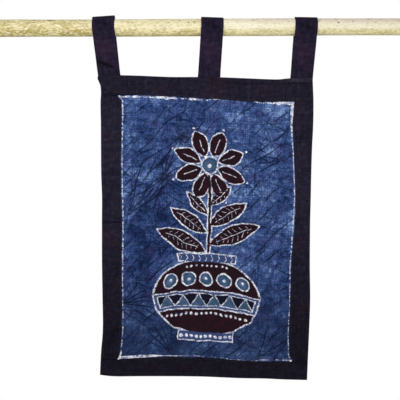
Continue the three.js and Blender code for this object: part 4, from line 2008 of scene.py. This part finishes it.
# %% End grain
# The pith isn't quite in the middle of the stick: how far off it lies in y and z.
PITH = (-2.5, 1.5)


def end_grain(tree, y, z, uneven):
    """The colour of a cut end and its year rings."""
    off_y = y - PITH[0]
    off_z = z - PITH[1]
    from_pith = (off_y * off_y + off_z * off_z).do("SQRT") + (uneven - 0.5) * 3
    year = from_pith.do("PINGPONG", 0.9).ramp(0.15, 0.85)
    colour = layer(tree, dye(206, 182, 132), dye(232, 214, 168), year)
    return layer(tree, colour, dye(120, 92, 56), from_pith.ramp(1.6, 0.9)), year


# %% Peeled wood
ROD_RADIUS = 14.5


def wood():
    made, tree, shader = new_material("peeled wood", 0.6, specular=0.3)
    x, y, z = object_place(tree)
    angle = math_node(tree, "ARCTAN2", z, -y)
    around_y = angle.do("COSINE") * ROD_RADIUS
    around_z = angle.do("SINE") * ROD_RADIUS

    grain = cloud(tree, x / 55, around_y / 1.5, around_z / 1.5, detail=3, roughness=0.6)
    bands = cloud(tree, x / 130, around_y / 6, around_z / 6, detail=2)
    fleck = cloud(tree, x / 5.5, around_y / 2.4, around_z / 2.4, detail=2, roughness=0.6)
    chip = cloud(tree, x / 7, around_y / 2.2, around_z / 2.2 + 40, detail=2)
    blotch = cloud(tree, x / 28, around_y / 7, around_z / 7, detail=1)
    # Where along the stick and round it the wood changes.
    leftness = x.ramp(-150, -235)
    middle = x.ramp(-215, -160) * x.ramp(60, -10)
    lowness = around_z.ramp(-1.5, -8.5)
    upper = around_z.ramp(3.5, 9)

    colour = layer(tree, dye(247, 241, 221), dye(235, 225, 191), grain.ramp(0.35, 0.7))
    colour = layer(tree, colour, dye(232, 221, 176), bands.ramp(0.45, 0.7) * 0.6 + middle * 0.6)
    colour = layer(tree, colour, dye(214, 198, 140), leftness * 0.75)
    colour = layer(tree, colour, dye(230, 214, 196), upper * x.ramp(40, 130) * 0.7)
    colour = layer(tree, colour, dye(234, 222, 164), lowness * 0.75)
    golden = fleck + (blotch - 0.5) * 0.5 + leftness * 0.05 + lowness * 0.05
    golden = golden.ramp(0.46, 0.65) * (0.28 + middle * 0.25 + leftness * 0.5 + lowness * 0.3)
    colour = layer(tree, colour, dye(176, 158, 88), golden)
    pale = chip.ramp(0.51, 0.68) * (0.34 + leftness * 0.5)
    colour = layer(tree, colour, dye(252, 244, 208), pale)
    speck_place = spot(tree, x / 12, around_y / 5, around_z / 5)
    specks = tree.nodes.new("ShaderNodeTexVoronoi")
    connect(tree, speck_place, specks.inputs["Vector"])
    specks.inputs["Scale"].default_value = 1
    speck = Amount(tree, specks.outputs["Distance"]).ramp(0.25, 0.14)
    speck = speck * cloud(tree, x / 34, 0, 3.3).ramp(0.43, 0.51) * around_z.ramp(3, 7)
    colour = layer(tree, colour, dye(84, 68, 44), speck * 0.95)

    end_wood, year = end_grain(tree, y, z, blotch)
    on_end = x.size().ramp(ROD_LENGTH / 2 - 0.6, ROD_LENGTH / 2 - 0.3)
    colour = layer(tree, colour, end_wood, on_end)
    connect(tree, colour, shader.inputs["Base Color"])
    connect(tree, 0.5 + grain * 0.25 + golden * 0.1, shader.inputs["Roughness"])
    height = grain * 0.35 + golden * 0.25 - speck * 0.3 - year * on_end * 0.15 + bands * 0.4
    relief(tree, shader, height)
    return made


peeled_wood = wood()
rod.data.materials.append(peeled_wood)
print("wood nodes:", len(peeled_wood.node_tree.nodes))

# %% [markdown]
# ## What each piece stands for
#
# Each dressed piece takes the place of the plain solid it was measured from, and rides on the one
# body, because nothing here turns on a joint. The loops rest on the rod, and the panel is held by
# the strips round it.

# %% Bodies and replaced solids
replaced = {
    "top_strip": "border_top",
    "bottom_strip": "border_bottom",
    "left_strip_upper": "border_left_upper",
    "left_strip_lower": "border_left_lower",
    "right_strip": "border_right",
}
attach(panel, "root")
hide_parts("batik_panel")
for name, node in replaced.items():
    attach(strips[name], "root")
    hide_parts(node)
for name, strap in strap_pieces.items():
    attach(strap, "root")
    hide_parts(f"tab_{name}")
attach(stitches, "root")
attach(rod, "root")
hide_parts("rod")
print(f"{len(replaced) + len(strap_pieces) + 2} solids replaced")

# %% Sheets of cloth
print(f"{len(strips) + len(strap_pieces) + 1} sheets declared")
